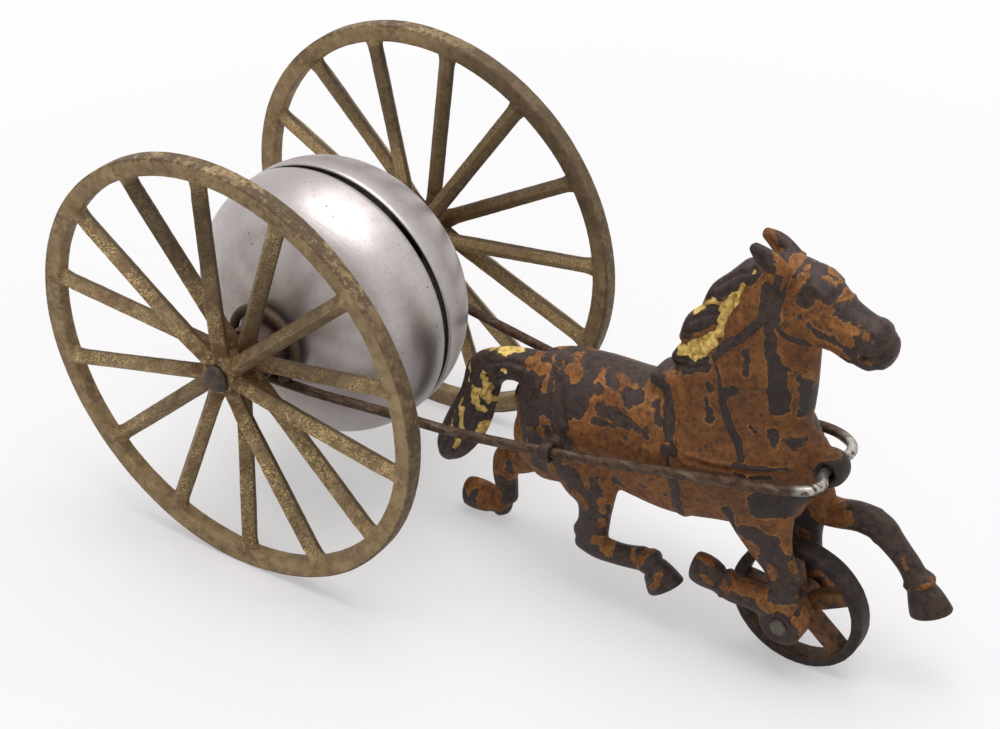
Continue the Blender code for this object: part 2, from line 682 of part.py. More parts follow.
def loft(bm, stations, side, sides=LOFT_SIDES):
    """A closed tapered form whose sections stand square to its run in the X-Z plane."""
    pts = [Vector((AXLE_X + x * MM, side * y * MM, z * MM)) for x, z, y, d, w in stations]
    rings = []
    for i, (x, z, y, depth, width) in enumerate(stations):
        ahead = pts[min(i + 1, len(pts) - 1)] - pts[max(i - 1, 0)]
        along = Vector((ahead.x, 0.0, ahead.z)).normalized()
        square = Vector((-along.z, 0.0, along.x))
        ring = []
        for k in range(sides):
            a = 2 * math.pi * k / sides
            offset = square * depth * MM * math.cos(a)
            offset += Vector((0.0, width * MM * math.sin(a), 0.0))
            ring.append(pts[i] + offset)
        rings.append(ring)
    for end, step in ((0, -1), (len(rings) - 1, 1)):
        inner = pts[max(min(end - step, len(pts) - 1), 0)]
        out = (pts[end] - inner).normalized() * stations[end][3] * MM * 0.5
        cap = [pts[end] + (p - pts[end]) * CAP_SHRINK + out for p in rings[end]]
        if step < 0:
            rings = [cap] + rings
        else:
            rings = rings + [cap]
    loops = [[bm.verts.new(p) for p in ring] for ring in rings]
    for low, high in zip(loops, loops[1:]):
        for k in range(sides):
            n = (k + 1) % sides
            bm.faces.new((low[k], low[n], high[n], high[k]))
    bm.faces.new(loops[0][::-1])
    bm.faces.new(loops[-1])


def boss(bm, x, z, y_low, y_high, radius):
    """A round lug along Y."""
    made = bmesh.ops.create_cone(
        bm, cap_ends=True, segments=SMALL_STEPS, radius1=radius, radius2=radius,
        depth=y_high - y_low,
    )
    turn = Matrix.Rotation(math.pi / 2, 4, "X")
    place = Matrix.Translation((AXLE_X + x, (y_low + y_high) / 2, z))
    bmesh.ops.transform(bm, matrix=place @ turn, verts=made["verts"])


CHEST_EYE_R = 3.9 * MM
CHEST_EYE_HALF = 3.0 * MM
LUG_R = 2.8 * MM
LUG_REACH = 1.7 * MM
AXLE_LUG_R = 5.0 * MM


def horse_forms(side):
    bm = bmesh.new()
    shared = [TRUNK, NECK, HEAD, TAIL, SADDLE] + MANE
    own = LEFT_FORMS if side > 0 else RIGHT_FORMS
    for stations in shared + own:
        loft(bm, stations, side)
    boss(bm, EYE_HOLE_X, EYE_HOLE_Z, -CHEST_EYE_HALF, CHEST_EYE_HALF, CHEST_EYE_R)
    lug = sorted((side * LUG_Y * 0.5, side * (LUG_Y + LUG_REACH)))
    boss(bm, LUG_X, LUG_Z, lug[0], lug[1], LUG_R)
    foot = sorted((side * LUG_INNER, side * LEG_OUTER))
    boss(bm, FRONT_AXLE_X, FRONT_WHEEL_R, foot[0], foot[1], AXLE_LUG_R)
    bmesh.ops.recalc_face_normals(bm, faces=bm.faces)
    return bm


def block(name, low, high):
    bm = bmesh.new()
    bmesh.ops.create_cube(bm, size=1.0)
    size = Vector(high) - Vector(low)
    middle = (Vector(high) + Vector(low)) / 2
    bm.transform(Matrix.Translation(middle) @ Matrix.Diagonal((*size, 1.0)))
    return add_object(name, mesh_from(bm, name), CUTTERS)


def hollow():
    """The space inside the body: the trunk's own stations, less the wall."""
    wall = HORSE_WALL / MM
    inner = [(x, z, y, d - wall, w - wall) for x, z, y, d, w in TRUNK[3:-2]]
    bm = bmesh.new()
    loft(bm, inner, 1)
    bmesh.ops.recalc_face_normals(bm, faces=bm.faces)
    return add_object("body_hollow", mesh_from(bm, "body_hollow"), CUTTERS)


BODY_RIVET = (94.0 * MM, 50.0 * MM, 11.0 * MM)
TAIL_RIVET = (45.6 * MM, 46.6 * MM, 4.0 * MM)
RIVET_SEAT = 0.9 * MM


def rivet_cutter(name, spot, shank, head):
    """Shank hole with a flat seat for the head on both faces."""
    x, z, half = spot
    seat = half - RIVET_SEAT
    far = 3 * half
    profile = [
        (0.0, far), (head + GAP, far), (head + GAP, seat), (shank + GAP, seat),
        (shank + GAP, -seat), (head + GAP, -seat), (head + GAP, -far), (0.0, -far),
    ]
    obj = turned(name, profile, SMALL_STEPS, CUTTERS, closed=False)
    obj.location = (AXLE_X + x, 0.0, z)
    obj.rotation_euler = facing(1)
    return obj


def rivet(name, spot, shank, head, height):
    x, z, half = spot
    return pin(
        name, shank, half - RIVET_SEAT + GAP, head, height, (AXLE_X + x, 0.0, z), 16, IRON_DARK
    )


def horse_half(name, side, cutters):
    """One cast half: joined forms, cut flat on the seam and hollow inside."""
    rough = add_object(name + "_forms", mesh_from(horse_forms(side), name), CUTTERS)
    remesh = rough.modifiers.new("skin", "REMESH")
    remesh.mode = "VOXEL"
    remesh.voxel_size = VOXEL
    remesh.adaptivity = 0.0
    soften = rough.modifiers.new("soften", "SMOOTH")
    soften.factor = 0.5
    soften.iterations = 2
    bpy.context.view_layer.update()
    skin = rough.evaluated_get(bpy.context.evaluated_depsgraph_get())
    mesh = bpy.data.meshes.new_from_object(skin)
    bpy.data.objects.remove(rough, do_unlink=True)
    mesh.name = name
    mesh.calc_loop_triangles()
    obj = add_object(name, mesh, PARTS, colour=HORSE_BROWN, roughness=0.6, metallic=0.4)
    thin = obj.modifiers.new("thin", "DECIMATE")
    thin.ratio = HALF_TRIANGLES / len(mesh.loop_triangles)
    far = 2 * TOE_REACH
    low_y, high_y = (GAP / 2, far) if side > 0 else (-far, -GAP / 2)
    keep = block(name + "_side", (-far, low_y, -far), (far, high_y, far))
    boolean(obj, keep, "INTERSECT")
    for cutter in cutters:
        boolean(obj, cutter)
    return obj


def front_axle_cutter():
    """Bore for the front axle and flat seats for its heads."""
    return rivet_cutter(
        "front_axle_bore", (FRONT_AXLE_X, FRONT_WHEEL_R, LEG_OUTER + RIVET_SEAT - 2 * GAP),
        FRONT_AXLE_R, FRONT_HEAD_R,
    )


def build():
    road_wheel("road_wheel_right", -1, SPOKE_TURN_RIGHT)
    road_wheel("road_wheel_left", 1, SPOKE_TURN_LEFT)
    axle = pin(
        "main_axle", AXLE_R, HUB_OUTER + GAP, AXLE_HEAD_R, AXLE_HEAD_H,
        (AXLE_X, 0.0, AXLE_Z), SMALL_STEPS, IRON_DARK,
    )
    hang_on(axle, MAIN_AXIS)
    gong("bell_right", -1)
    gong("bell_left", 1)
    sleeve("sleeve_right", -1)
    sleeve("sleeve_left", 1)
    striker_carrier()
    for i in range(STRIKERS):
        letter = "abc"[i]
        axis = axis_empty(f"striker_axis_{letter}", pivot_place(i))
        hang_on(axis, MAIN_AXIS)
        hammer = striker(f"striker_{letter}", i)
        hammer.parent = axis
        hammer.location = (0.0, 0.0, 0.0)
        reach = SPIDER_HALF_GAP + SPIDER_PLATE + GAP
        peg = pin(
            f"striker_pin_{letter}", PIVOT_PIN_R, reach, PIVOT_HEAD_R, PIVOT_HEAD_H,
            pivot_place(i), PIN_STEPS, WIRE_RUST,
        )
        hang_on(peg, MAIN_AXIS)
    wire_tube("shaft_wire", WIRE_R, PARTS)
    wire_room = wire_tube("wire_room", WIRE_R + GAP, CUTTERS)
    cutters = [
        hollow(),
        wire_room,
        front_axle_cutter(),
        rivet_cutter("body_rivet_bore", BODY_RIVET, RIVET_R, RIVET_HEAD_R),
        rivet_cutter("tail_rivet_bore", TAIL_RIVET, RIVET_R * 0.7, RIVET_HEAD_R * 0.75),
    ]
    horse_half("horse_right_half", -1, cutters)
    horse_half("horse_left_half", 1, cutters)
    rivet("body_rivet", BODY_RIVET, RIVET_R, RIVET_HEAD_R, RIVET_HEAD_H)
    rivet("tail_rivet", TAIL_RIVET, RIVET_R * 0.7, RIVET_HEAD_R * 0.75, RIVET_HEAD_H * 0.7)
    front_wheel()
    pin(
        "front_axle", FRONT_AXLE_R, LEG_OUTER - GAP, FRONT_HEAD_R, FRONT_HEAD_H,
        (AXLE_X + FRONT_AXLE_X, 0.0, FRONT_WHEEL_R), 16, IRON_DARK,
    )


build()
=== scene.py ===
"""Looks of the cast iron bell toy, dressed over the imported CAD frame.

Lengths are in millimetres: in the tables x runs from the main axle, y from the middle plane and
z from the floor.
"""
import math

import bmesh
import bpy
import numpy as np
from mathutils import Matrix, Vector


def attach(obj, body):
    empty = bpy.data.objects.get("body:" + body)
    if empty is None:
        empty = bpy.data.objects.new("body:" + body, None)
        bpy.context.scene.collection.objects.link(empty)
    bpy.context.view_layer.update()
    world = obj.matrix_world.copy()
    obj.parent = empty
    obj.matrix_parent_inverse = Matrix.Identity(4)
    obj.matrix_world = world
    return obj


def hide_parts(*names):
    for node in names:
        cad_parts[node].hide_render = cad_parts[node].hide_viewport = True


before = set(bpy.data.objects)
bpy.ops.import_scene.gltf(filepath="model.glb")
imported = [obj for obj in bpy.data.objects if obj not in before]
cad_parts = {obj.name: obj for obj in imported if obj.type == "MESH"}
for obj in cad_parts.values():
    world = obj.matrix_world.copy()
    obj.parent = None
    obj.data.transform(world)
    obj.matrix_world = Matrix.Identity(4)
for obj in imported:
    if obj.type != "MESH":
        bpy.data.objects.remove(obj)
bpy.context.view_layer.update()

MM = 0.001
AXLE = Vector((-49.6, 0.0, 50.8))
FRONT = Vector((70.6, 0.0, 15.0))
FROM_AXLE = Vector((AXLE.x, 0.0, 0.0))
SPOKES, RIM_Y = 14, 37.6
AXLE_BORE = 2.7


# Node trees

def arithmetic(operation, swapped=False):
    """A method that runs a Math node on a socket and another value."""
    def apply(self, other):
        return self.math(operation, *((other, self) if swapped else (self, other)))
    return apply


class Knot:
    """A socket in a node tree. Arithmetic on it adds Math nodes; node() adds any other node."""

    def __init__(self, tree, socket=None):
        self.tree = tree
        self.socket = socket

    def node(self, kind, sockets=None, out=0, **settings):
        made = self.tree.nodes.new(kind)
        for key, value in settings.items():
            setattr(made, key, value)
        for key, value in (sockets or {}).items():
            for item in value if isinstance(value, list) else [value]:
                if isinstance(item, Knot):
                    self.tree.links.new(item.socket, made.inputs[key])
                else:
                    made.inputs[key].default_value = item
        return Knot(self.tree, made.outputs[out] if made.outputs else None)

    def output(self, name):
        return Knot(self.tree, self.socket.node.outputs[name])

    def math(self, operation, *values):
        return self.node("ShaderNodeMath", dict(enumerate(values)), operation=operation)

    __add__, __radd__ = arithmetic("ADD"), arithmetic("ADD", True)
    __sub__, __rsub__ = arithmetic("SUBTRACT"), arithmetic("SUBTRACT", True)
    __mul__, __truediv__ = arithmetic("MULTIPLY"), arithmetic("DIVIDE")
    most = arithmetic("MAXIMUM")

    def step(self, low, high):
        """0 below low, 1 above high, smooth between."""
        return self.node(
            "ShaderNodeMapRange",
            {"Value": self, "From Min": low, "From Max": high, "To Min": 0.0, "To Max": 1.0},
            interpolation_type="SMOOTHSTEP",
        )

    def grain(self, size, detail=3.0, rough=0.55, *, seed, stretch=None):
        """Noise from 0 to 1 whose blotches are about size millimetres across."""
        place = self
        if stretch:
            place = self.node("ShaderNodeMapping", {"Vector": self, "Scale": stretch})
        return place.node(
            "ShaderNodeTexNoise",
            {"Vector": place, "W": seed, "Scale": 1000.0 / size, "Detail": detail,
             "Roughness": rough}, noise_dimensions="4D",
        )

    def cells(self, size, seed):
        """Distance to scattered points about size millimetres apart, 0 at a point."""
        return self.node(
            "ShaderNodeTexVoronoi", {"Vector": self, "W": seed, "Scale": 1000.0 / size},
            "Distance", voronoi_dimensions="4D", feature="F1",
        )

    def blend(self, under, over):
        """Colour under where this is 0, over where it is 1."""
        return self.node("ShaderNodeMix", {0: self, 6: tint(under), 7: tint(over)}, 2,
                         data_type="RGBA")

    def vector(self, operation, other=None, out=0):
        sockets = {0: self} if other is None else {0: self, 1: Vector(other)}
        return self.node("ShaderNodeVectorMath", sockets, out, operation=operation)

    def reach(self, centre, across=0.0):
        """Distance in millimetres from a point as seen from the side; across is Y's weight."""
        away = self.vector("SUBTRACT", Vector(centre) * MM).vector("MULTIPLY", (1.0, across, 1.0))
        return away.vector("LENGTH", out="Value") * 1000.0

    def attribute(self, name):
        return self.node("ShaderNodeAttribute", out="Fac", attribute_name=name)


def tint(colour):
    return colour if isinstance(colour, Knot) else (*colour, 1.0)


def coats(colour, *layers):
    """A colour with layers over it, each a mask and the colour where that is 1."""
    for mask, over in layers:
        colour = mask.blend(colour, over)
    return colour


def emptied(owner):
    """The cleared node tree of a material or a world."""
    owner.use_nodes = True
    owner.node_tree.nodes.clear()
    return Knot(owner.node_tree)


def finish(name, recipe):
    """A material whose recipe turns Object coordinates into shader sockets and a relief in mm."""
    made = bpy.data.materials.new(name)
    place = emptied(made).node("ShaderNodeTexCoord", out="Object")
    sockets = recipe(place)
    bump = {"Strength": 1.0, "Distance": MM, "Height": sockets.pop("relief")}
    sockets["Normal"] = place.node("ShaderNodeBump", bump)
    shader = place.node("ShaderNodeBsdfPrincipled", sockets)
    place.node("ShaderNodeOutputMaterial", {"Surface": shader})
    return made


# Finishes

def wheel_bronze(place):
    """Gold bronze paint over dark iron, worn to specks, rusty round the hub; painted highlight on
    spoke crests, painted shade on their sides.
    """
    out = place.reach(AXLE)
    broad = place.grain(9.0, 4.0, seed=1)
    fine = place.grain(1.2, 5.0, 0.72, seed=2)
    speck = place.grain(0.34, 3.0, 0.7, seed=3)
    patch = place.grain(5.5, 3.0, 0.6, seed=7).step(0.42, 0.58)
    shade = place.grain(3.0, 4.0, seed=4).step(0.3, 0.7)
    spokes = out.step(46.6, 45.0)
    glint = speck.step(0.5, 0.62) * patch * (0.25 + spokes * 0.75)
    face = place.attribute("outward")
    # painted highlight: lighter gold along each spoke's crest, where it faces along the axle
    crest_highlight = face.step(0.72, 0.95) * spokes * speck.step(0.36, 0.5)
    # painted shade: dark brown on the spokes' sides
    side = face.step(0.66, 0.3) * spokes
    paint = coats(
        (0.25, 0.168, 0.084),
        (shade, (0.42, 0.3, 0.158)),
        (speck.step(0.52, 0.4) * spokes * 0.5, (0.07, 0.042, 0.02)),
        (glint * 0.85, (0.8, 0.6, 0.28)),
        (crest_highlight * 0.5, (0.62, 0.43, 0.19)),
        (side * 0.75, (0.072, 0.046, 0.027)),
    )
    iron = fine.step(0.35, 0.65).blend((0.033, 0.022, 0.015), (0.112, 0.07, 0.042))
    tread = out.step(49.9, 50.6)
    worn = (broad * 0.4 + fine * 0.6 + tread * 0.08).step(0.5, 0.62)
    # bare iron over the top spokes and over a patch of the far and of the near wheel
    top = place.reach(AXLE + Vector((-13.0, 0.0, 36.0))).step(22.0, 12.0)
    far = place.reach(AXLE + Vector((26.0, RIM_Y, 28.0)), 0.8).step(36.0, 20.0)
    near = place.reach(AXLE + Vector((20.0, -RIM_Y, 16.0)), 0.8).step(24.0, 10.0)
    iron_patches = (top * spokes * 0.75).most(far * 0.65).most(near * 0.5)
    front = place.reach(AXLE + Vector((46.0, 0.0, -8.0))).step(48.0, 28.0) * tread
    bare = (worn * (0.55 + tread * 0.35)).most(iron_patches)
    bare = bare.most(front * (0.45 + fine.step(0.4, 0.6) * 0.5))
    rust = out.step(16.0, 5.0) * place.grain(2.0, 3.0, seed=6).step(0.36, 0.54)
    return {
        "Base Color": coats(paint, (bare, iron), (rust * 0.75, (0.12, 0.05, 0.018))),
        "Metallic": 0.25 + glint * 0.5, "Specular IOR Level": 0.3,
        "Roughness": 0.5 + fine * 0.2 - glint * 0.14,
        "relief": fine * 0.3 + speck * 0.16 + broad * 0.25,
    }


def gong_nickel(place):
    """Satin nickel plate with grey clouds, fine turning rings, scratches and dark specks, and a
    painted dark reflection on its lower front.
    """
    out = place.reach(AXLE)
    cloud = place.grain(14.0, 5.0, 0.6, seed=1)
    mottle = place.grain(3.0, 4.0, 0.65, seed=2)
    # painted dark reflection on the gongs' lower front
    dark_reflection = place.reach(AXLE + Vector((31.0, 0.0, -14.0))).step(30.0, 2.0)
    dust = place.grain(0.5, 3.0, 0.7, seed=5)
    pits = place.cells(2.1, seed=3).step(0.2, 0.08)
    pits = pits * place.grain(6.0, 3.0, seed=8).step(0.48, 0.56)
    scratch = place.grain(1.6, 2.0, seed=4, stretch=(0.7, 9.0, 1.0)).step(0.64, 0.7)
    base = coats(
        (0.51, 0.472, 0.462),
        (cloud.step(0.38, 0.62), (0.45, 0.404, 0.4)),
        (dark_reflection * 0.55, (0.2, 0.18, 0.17)),
        (mottle.step(0.48, 0.7) * 0.45, (0.39, 0.33, 0.33)),
        (dust.step(0.54, 0.7) * 0.55, (0.26, 0.22, 0.21)),
        (pits * 0.85, (0.07, 0.05, 0.042)),
        (scratch * 0.35, (0.22, 0.2, 0.2)),
    )
    rings = place.node("ShaderNodeTexNoise", {"W": out * 1.6, "Scale": 1.0, "Detail": 2.0},
                       noise_dimensions="1D")
    return {
        "Base Color": base, "Metallic": 0.95 - pits * 0.6,
        "Roughness": 0.28 + mottle * 0.12 + rings * 0.05 + dust * 0.06,
        "relief": rings * 0.02 + mottle * 0.02 + dust * 0.012 - pits * 0.06,
    }


def rusty_steel(place):
    """Darkened steel wire: brown rust with grey worn streaks, bright where it rubs at the chest."""
    rust = place.grain(1.6, 4.0, 0.65, seed=1)
    streak = place.grain(0.9, 3.0, seed=2, stretch=(0.22, 1.0, 1.0))
    eye = place.reach(AXLE).step(13.0, 9.0)
    rub = place.reach((76.5, 0.0, 51.0), 0.4).step(7.0, 4.0)
    bright = rub * streak.step(0.34, 0.56)
    colour = coats(
        (0.04, 0.021, 0.012),
        (rust.step(0.36, 0.66), (0.11, 0.062, 0.034)),
        (streak.step(0.5, 0.7) * 0.45, (0.22, 0.19, 0.155)),
        (eye * 0.6, (0.085, 0.055, 0.032)),
        (bright, (0.44, 0.42, 0.38)),
    )
    return {
        "Base Color": colour, "Metallic": 0.3 + bright * 0.6, "Specular IOR Level": 0.3,
        "Roughness": 0.56 - bright * 0.24 + rust * 0.1,
        "relief": rust * 0.06 + streak * 0.03,
    }


def dark_steel(place):
    """Blackened steel with brown rust in its hollows."""
    rust = place.grain(1.8, 4.0, 0.6, seed=5)
    pit = place.grain(0.6, 2.0, seed=6)
    out = place.reach(AXLE)
    sleeve_skin = out.step(3.6, 4.6) * out.step(7.5, 7.0)
    worn = place.reach(FRONT).step(2.0, 1.2) * rust.step(0.3, 0.55)
    colour = coats(
        (0.042, 0.035, 0.033),
        (rust.step(0.4, 0.66), (0.105, 0.068, 0.048)),
        (pit.step(0.56, 0.7) * 0.5, (0.17, 0.145, 0.13)),
        (sleeve_skin * 0.7, (0.085, 0.044, 0.038)),
        (worn * 0.75, (0.13, 0.126, 0.1)),
    )
    return {
        "Base Color": colour, "Metallic": 0.3, "Roughness": 0.5 + rust * 0.18,
        "Specular IOR Level": 0.35,
        "relief": rust * 0.1 + pit * 0.05,
    }


def bare_iron(place):
    """Unpainted casting, dark brown and grainy."""
    rust = place.grain(2.4, 4.0, 0.65, seed=7)
    sand = place.grain(0.45, 2.0, seed=8)
    colour = rust.step(0.35, 0.7).blend((0.026, 0.02, 0.017), (0.085, 0.045, 0.024))
    return {
        "Base Color": colour, "Metallic": 0.25, "Roughness": 0.62 + sand * 0.15,
        "relief": rust * 0.1 + sand * 0.08,
    }


def front_wheel_iron(place):
    """Bare dark rim; orange-brown paint left on the spokes and inside the rim."""
    out = place.reach(FRONT)
    rust = place.grain(2.2, 4.0, 0.65, seed=2)
    sand = place.grain(0.5, 2.0, seed=3)
    iron = rust.step(0.35, 0.7).blend((0.016, 0.011, 0.011), (0.055, 0.033, 0.027))
    paint = rust.step(0.3, 0.65).blend((0.08, 0.033, 0.012), (0.18, 0.08, 0.03))
    left = (rust * 0.5 + place.grain(3.6, 2.0, seed=5) * 0.6).step(0.42, 0.56)
    left = out.step(13.4, 11.6) * left
    return {
        "Base Color": left.blend(iron, paint), "Metallic": 0.15, "Roughness": 0.5 + sand * 0.2,
        "Specular IOR Level": 0.3,
        "relief": rust * 0.1 + sand * 0.06 + left * 0.08,
    }


def horse_paint(place, dark=None, cream=None):
    """Orange-brown paint over dark, bare where it has flaked, with cream on mane and tail, and
    painted shade over the chest and shoulder.
    """
    dark = place.attribute("dark_mm") if dark is None else dark
    cream = place.attribute("cream_mm") if cream is None else cream
    fleck = place.grain(1.3, 5.0, 0.68, seed=1)
    sand = place.grain(0.5, 3.0, 0.6, seed=3)
    broad = place.grain(7.0, 4.0, 0.6, seed=4)
    ragged = (place.grain(3.4, 2.0, 0.5, seed=2) - 0.5) * 3.6
    ragged = ragged + (place.grain(1.3, 3.0, 0.6, seed=9) - 0.5) * 1.9
    bright = place.grain(3.0, 5.0, 0.72, seed=6).step(0.5, 0.64)
    dust = sand.step(0.52, 0.66) * fleck.step(0.62, 0.4)
    # painted shade over the chest and shoulder: both coats darker there
    front = place.reach((62.0, 0.0, 56.0)).step(30.0, 10.0)
    orange = coats(
        (0.142, 0.046, 0.012),
        (broad.step(0.34, 0.66), (0.25, 0.096, 0.024)),
        (fleck.step(0.46, 0.6) * 0.72, (0.052, 0.022, 0.011)),
        (bright * 0.6, (0.32, 0.125, 0.028)),
        (dust * 0.5, (0.34, 0.165, 0.045)),
        (front * 0.32, (0.075, 0.03, 0.012)),
    )
    under = coats(
        (0.017, 0.0105, 0.0095),
        (fleck.step(0.36, 0.62), (0.062, 0.036, 0.027)),
        (broad.step(0.46, 0.62) * 0.5, (0.058, 0.041, 0.042)),
        (front * 0.55, (0.016, 0.0115, 0.0095)),
        (sand.step(0.56, 0.68) * 0.45, (0.09, 0.055, 0.04)),
    )
    yellow = fleck.step(0.34, 0.62).blend((0.34, 0.17, 0.026), (0.9, 0.66, 0.2))
    edge = ragged + dark
    chips = place.cells(2.4, seed=5).step(0.2, 0.12) * broad.step(0.46, 0.54)
    bare = edge.step(-0.2, 0.2).most(chips * 0.9)
    lip = edge.step(-0.6, -0.15) * edge.step(0.1, -0.1)
    lip = lip * (0.2 + broad.step(0.42, 0.6) * 0.5) * (0.4 + sand.step(0.4, 0.6) * 0.6)
    holes = place.cells(1.7, seed=6).step(0.16, 0.1)
    pale = (ragged * 0.45 + cream).step(-0.1, 0.1) * (1.0 - holes * 0.8)
    return {
        "Base Color": coats(orange, (bare, under), (lip, (0.42, 0.2, 0.06)), (pale, yellow)),
        "Specular IOR Level": 0.3,
        "Metallic": bare * 0.1, "Roughness": 0.52 + fleck * 0.2 - bare * 0.08,
        "relief": (1.0 - bare) * 0.18 + pale * 0.08 + fleck * 0.12 + sand * 0.08 + broad * 0.3,
    }


def painted_rivet(place):
    """The horse's paint on a rivet's head, mostly worn off."""
    return horse_paint(place, dark=0.2, cream=-4.0)


FINISH = {
    "wheel_paint": finish("worn_gold_bronze", wheel_bronze),
    "gong_plate": finish("satin_nickel", gong_nickel),
    "wire_steel": finish("rusty_wire", rusty_steel),
    "dark_steel": finish("blackened_steel", dark_steel),
    "dark_iron": finish("bare_cast_iron", bare_iron),
    "front_wheel_iron": finish("front_wheel_paint", front_wheel_iron),
    "horse_paint": finish("horse_paint_worn", horse_paint),
    "painted_rivet": finish("painted_rivet", painted_rivet),
}


# Pieces

def placed(name, data):
    obj = bpy.data.objects.new(name, data)
    bpy.context.scene.collection.objects.link(obj)
    return obj


def solid(name, verts, faces):
    """A smooth-shaded object from points in metres, its faces turned outwards."""
    mesh = bpy.data.meshes.new(name)
    mesh.from_pydata([tuple(v) for v in verts], [], faces)
    bm = bmesh.new()
    bm.from_mesh(mesh)
    bmesh.ops.recalc_face_normals(bm, faces=bm.faces)
    bm.to_mesh(mesh)
    bm.free()
    mesh.polygons.foreach_set("use_smooth", [True] * len(mesh.polygons))
    return placed(name, mesh)


def evaluated(obj):
    """The mesh that an object's modifiers make of it."""
    bpy.context.view_layer.update()
    graph = bpy.context.evaluated_depsgraph_get()
    return bpy.data.meshes.new_from_object(obj.evaluated_get(graph))


def rows_of(items, field):
    """A mesh's vertex positions or normals as rows of three numbers."""
    rows = np.empty(len(items) * 3)
    items.foreach_get(field, rows)
    return rows.reshape(-1, 3)


def store(mesh, name, values):
    """Keep one number for each vertex of a mesh, for the materials and the casting tree."""
    layer = mesh.attributes.new(name, "FLOAT", "POINT")
    layer.data.foreach_set("value", values.astype(np.float32))


def dress(obj, slot, body, *nodes):
    """Give a piece its finish and tie it to its body and to the CAD nodes that it stands for."""
    obj.data.materials.clear()  # the casting tree leaves an empty slot
    obj.data.materials.append(FINISH[slot])
    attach(obj, body)
    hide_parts(*nodes)


def lathe(profile, steps, centre, closed):
    """Points and faces of a profile of (radius, y) turned about an axis along Y, in mm."""
    verts, faces, rings = [], [], []
    for r, y in profile:
        if r < 1e-6:
            rings.append([len(verts)])
            verts.append(Vector((centre[0], y, centre[2])) * MM)
            continue
        rings.append(list(range(len(verts), len(verts) + steps)))
        for k in range(steps):
            a = 2 * math.pi * k / steps
            verts.append(Vector((centre[0] + r * math.cos(a), y, centre[2] + r * math.sin(a))) * MM)
    pairs = list(zip(rings, rings[1:])) + ([(rings[-1], rings[0])] if closed else [])
    for low, high in pairs:
        for k in range(steps):
            n = (k + 1) % steps
            face = (low[k % len(low)], high[k % len(high)], high[n % len(high)], low[n % len(low)])
            faces.append(tuple(dict.fromkeys(face)))
    return verts, faces


def tube_faces(rings, sides, loop=False):
    """Faces along a tube of rings, which closes on itself or else has two flat ends."""
    faces = []
    for i in range(rings if loop else rings - 1):
        j = (i + 1) % rings
        for k in range(sides):
            n = (k + 1) % sides
            faces.append((i * sides + k, i * sides + n, j * sides + n, j * sides + k))
    if not loop:
        faces += [tuple(range(sides))[::-1], tuple(range((rings - 1) * sides, rings * sides))]
    return faces


def joined(parts):
    verts, faces = [], []
    for more_verts, more_faces in parts:
        first = len(verts)
        verts += more_verts
        faces += [tuple(i + first for i in face) for face in more_faces]
    return verts, faces


def rounded(points, radius, count=4):
    """A closed profile with each corner rounded by arcs of about the given radius."""
    out = []
    for i, p in enumerate(points):
        p = Vector(p)
        before = (Vector(points[i - 1]) - p).normalized()
        after = (Vector(points[(i + 1) % len(points)]) - p).normalized()
        for k in range(count + 1):
            t = k / count
            a, b = p + before * radius, p + after * radius
            out.append(tuple((a * (1 - t) + p * t) * (1 - t) + (p * (1 - t) + b * t) * t))
    return out


# Casting: what repeats round a wheel, and the rough skin of the sand mould

def casting_tree():
    """Repeats the marked faces round an axis along Y and roughens the whole skin."""
    tree = bpy.data.node_groups.new("wheel_casting", "GeometryNodeTree")
    sockets = {}
    for name, kind in {
        "Geometry": "Geometry", "Spoke Pairs": "Int", "Axis X": "Float", "Axis Z": "Float",
        "Warp": "Float", "Pitting": "Float", "Seed": "Float",
    }.items():
        sockets[name] = tree.interface.new_socket(
            name, in_out="INPUT", socket_type="NodeSocket" + kind
        )
    tree.interface.new_socket("Geometry", in_out="OUTPUT", socket_type="NodeSocketGeometry")
    whole = Knot(tree).node("NodeGroupInput")
    axis = whole.node("ShaderNodeCombineXYZ", {
        "X": whole.output("Axis X"), "Y": 0.0, "Z": whole.output("Axis Z"),
    })
    marked = whole.node("GeometryNodeInputNamedAttribute", {"Name": "spoke"}, data_type="FLOAT")
    split = whole.node("GeometryNodeSeparateGeometry", {
        "Geometry": whole, "Selection": marked.math("GREATER_THAN", marked, 0.5),
    }, domain="POINT")
    back = axis.node("ShaderNodeVectorMath", {0: axis, "Scale": -1.0}, operation="SCALE")
    spokes = split.node("GeometryNodeTransform", {"Geometry": split, "Translation": back})
    count = whole.output("Spoke Pairs")
    line = whole.node("GeometryNodeMeshLine", {"Count": count, "Offset": (0.0, 0.0, 0.0)})
    turn = whole.node("GeometryNodeInputIndex") * (2 * math.pi) / count
    turn = turn.node("ShaderNodeCombineXYZ", {"X": 0.0, "Y": turn, "Z": 0.0})
    ring = whole.node("GeometryNodeInstanceOnPoints", {
        "Points": line, "Instance": spokes, "Rotation": turn,
    })
    ring = ring.node("GeometryNodeRealizeInstances", {"Geometry": ring})
    ring = ring.node("GeometryNodeTransform", {"Geometry": ring, "Translation": axis})
    both = ring.node("GeometryNodeJoinGeometry", {"Geometry": [split.output("Inverted"), ring]})
    at = both.node("GeometryNodeInputPosition")
    seed = whole.output("Seed")

    def wobble(size, detail):
        return (at.grain(size, detail, seed=seed) - 0.5) * MM

    shift = wobble(30.0, 1.0) * whole.output("Warp") + wobble(1.6, 3.0) * whole.output("Pitting")
    normal = at.node("GeometryNodeInputNormal")
    push = at.node("ShaderNodeVectorMath", {0: normal, "Scale": shift}, operation="SCALE")
    skin = both.node("GeometryNodeSetPosition", {"Geometry": both, "Offset": push})
    skin.node("NodeGroupOutput", {0: skin})
    return tree, sockets


CASTING, CASTING_SOCKETS = casting_tree()


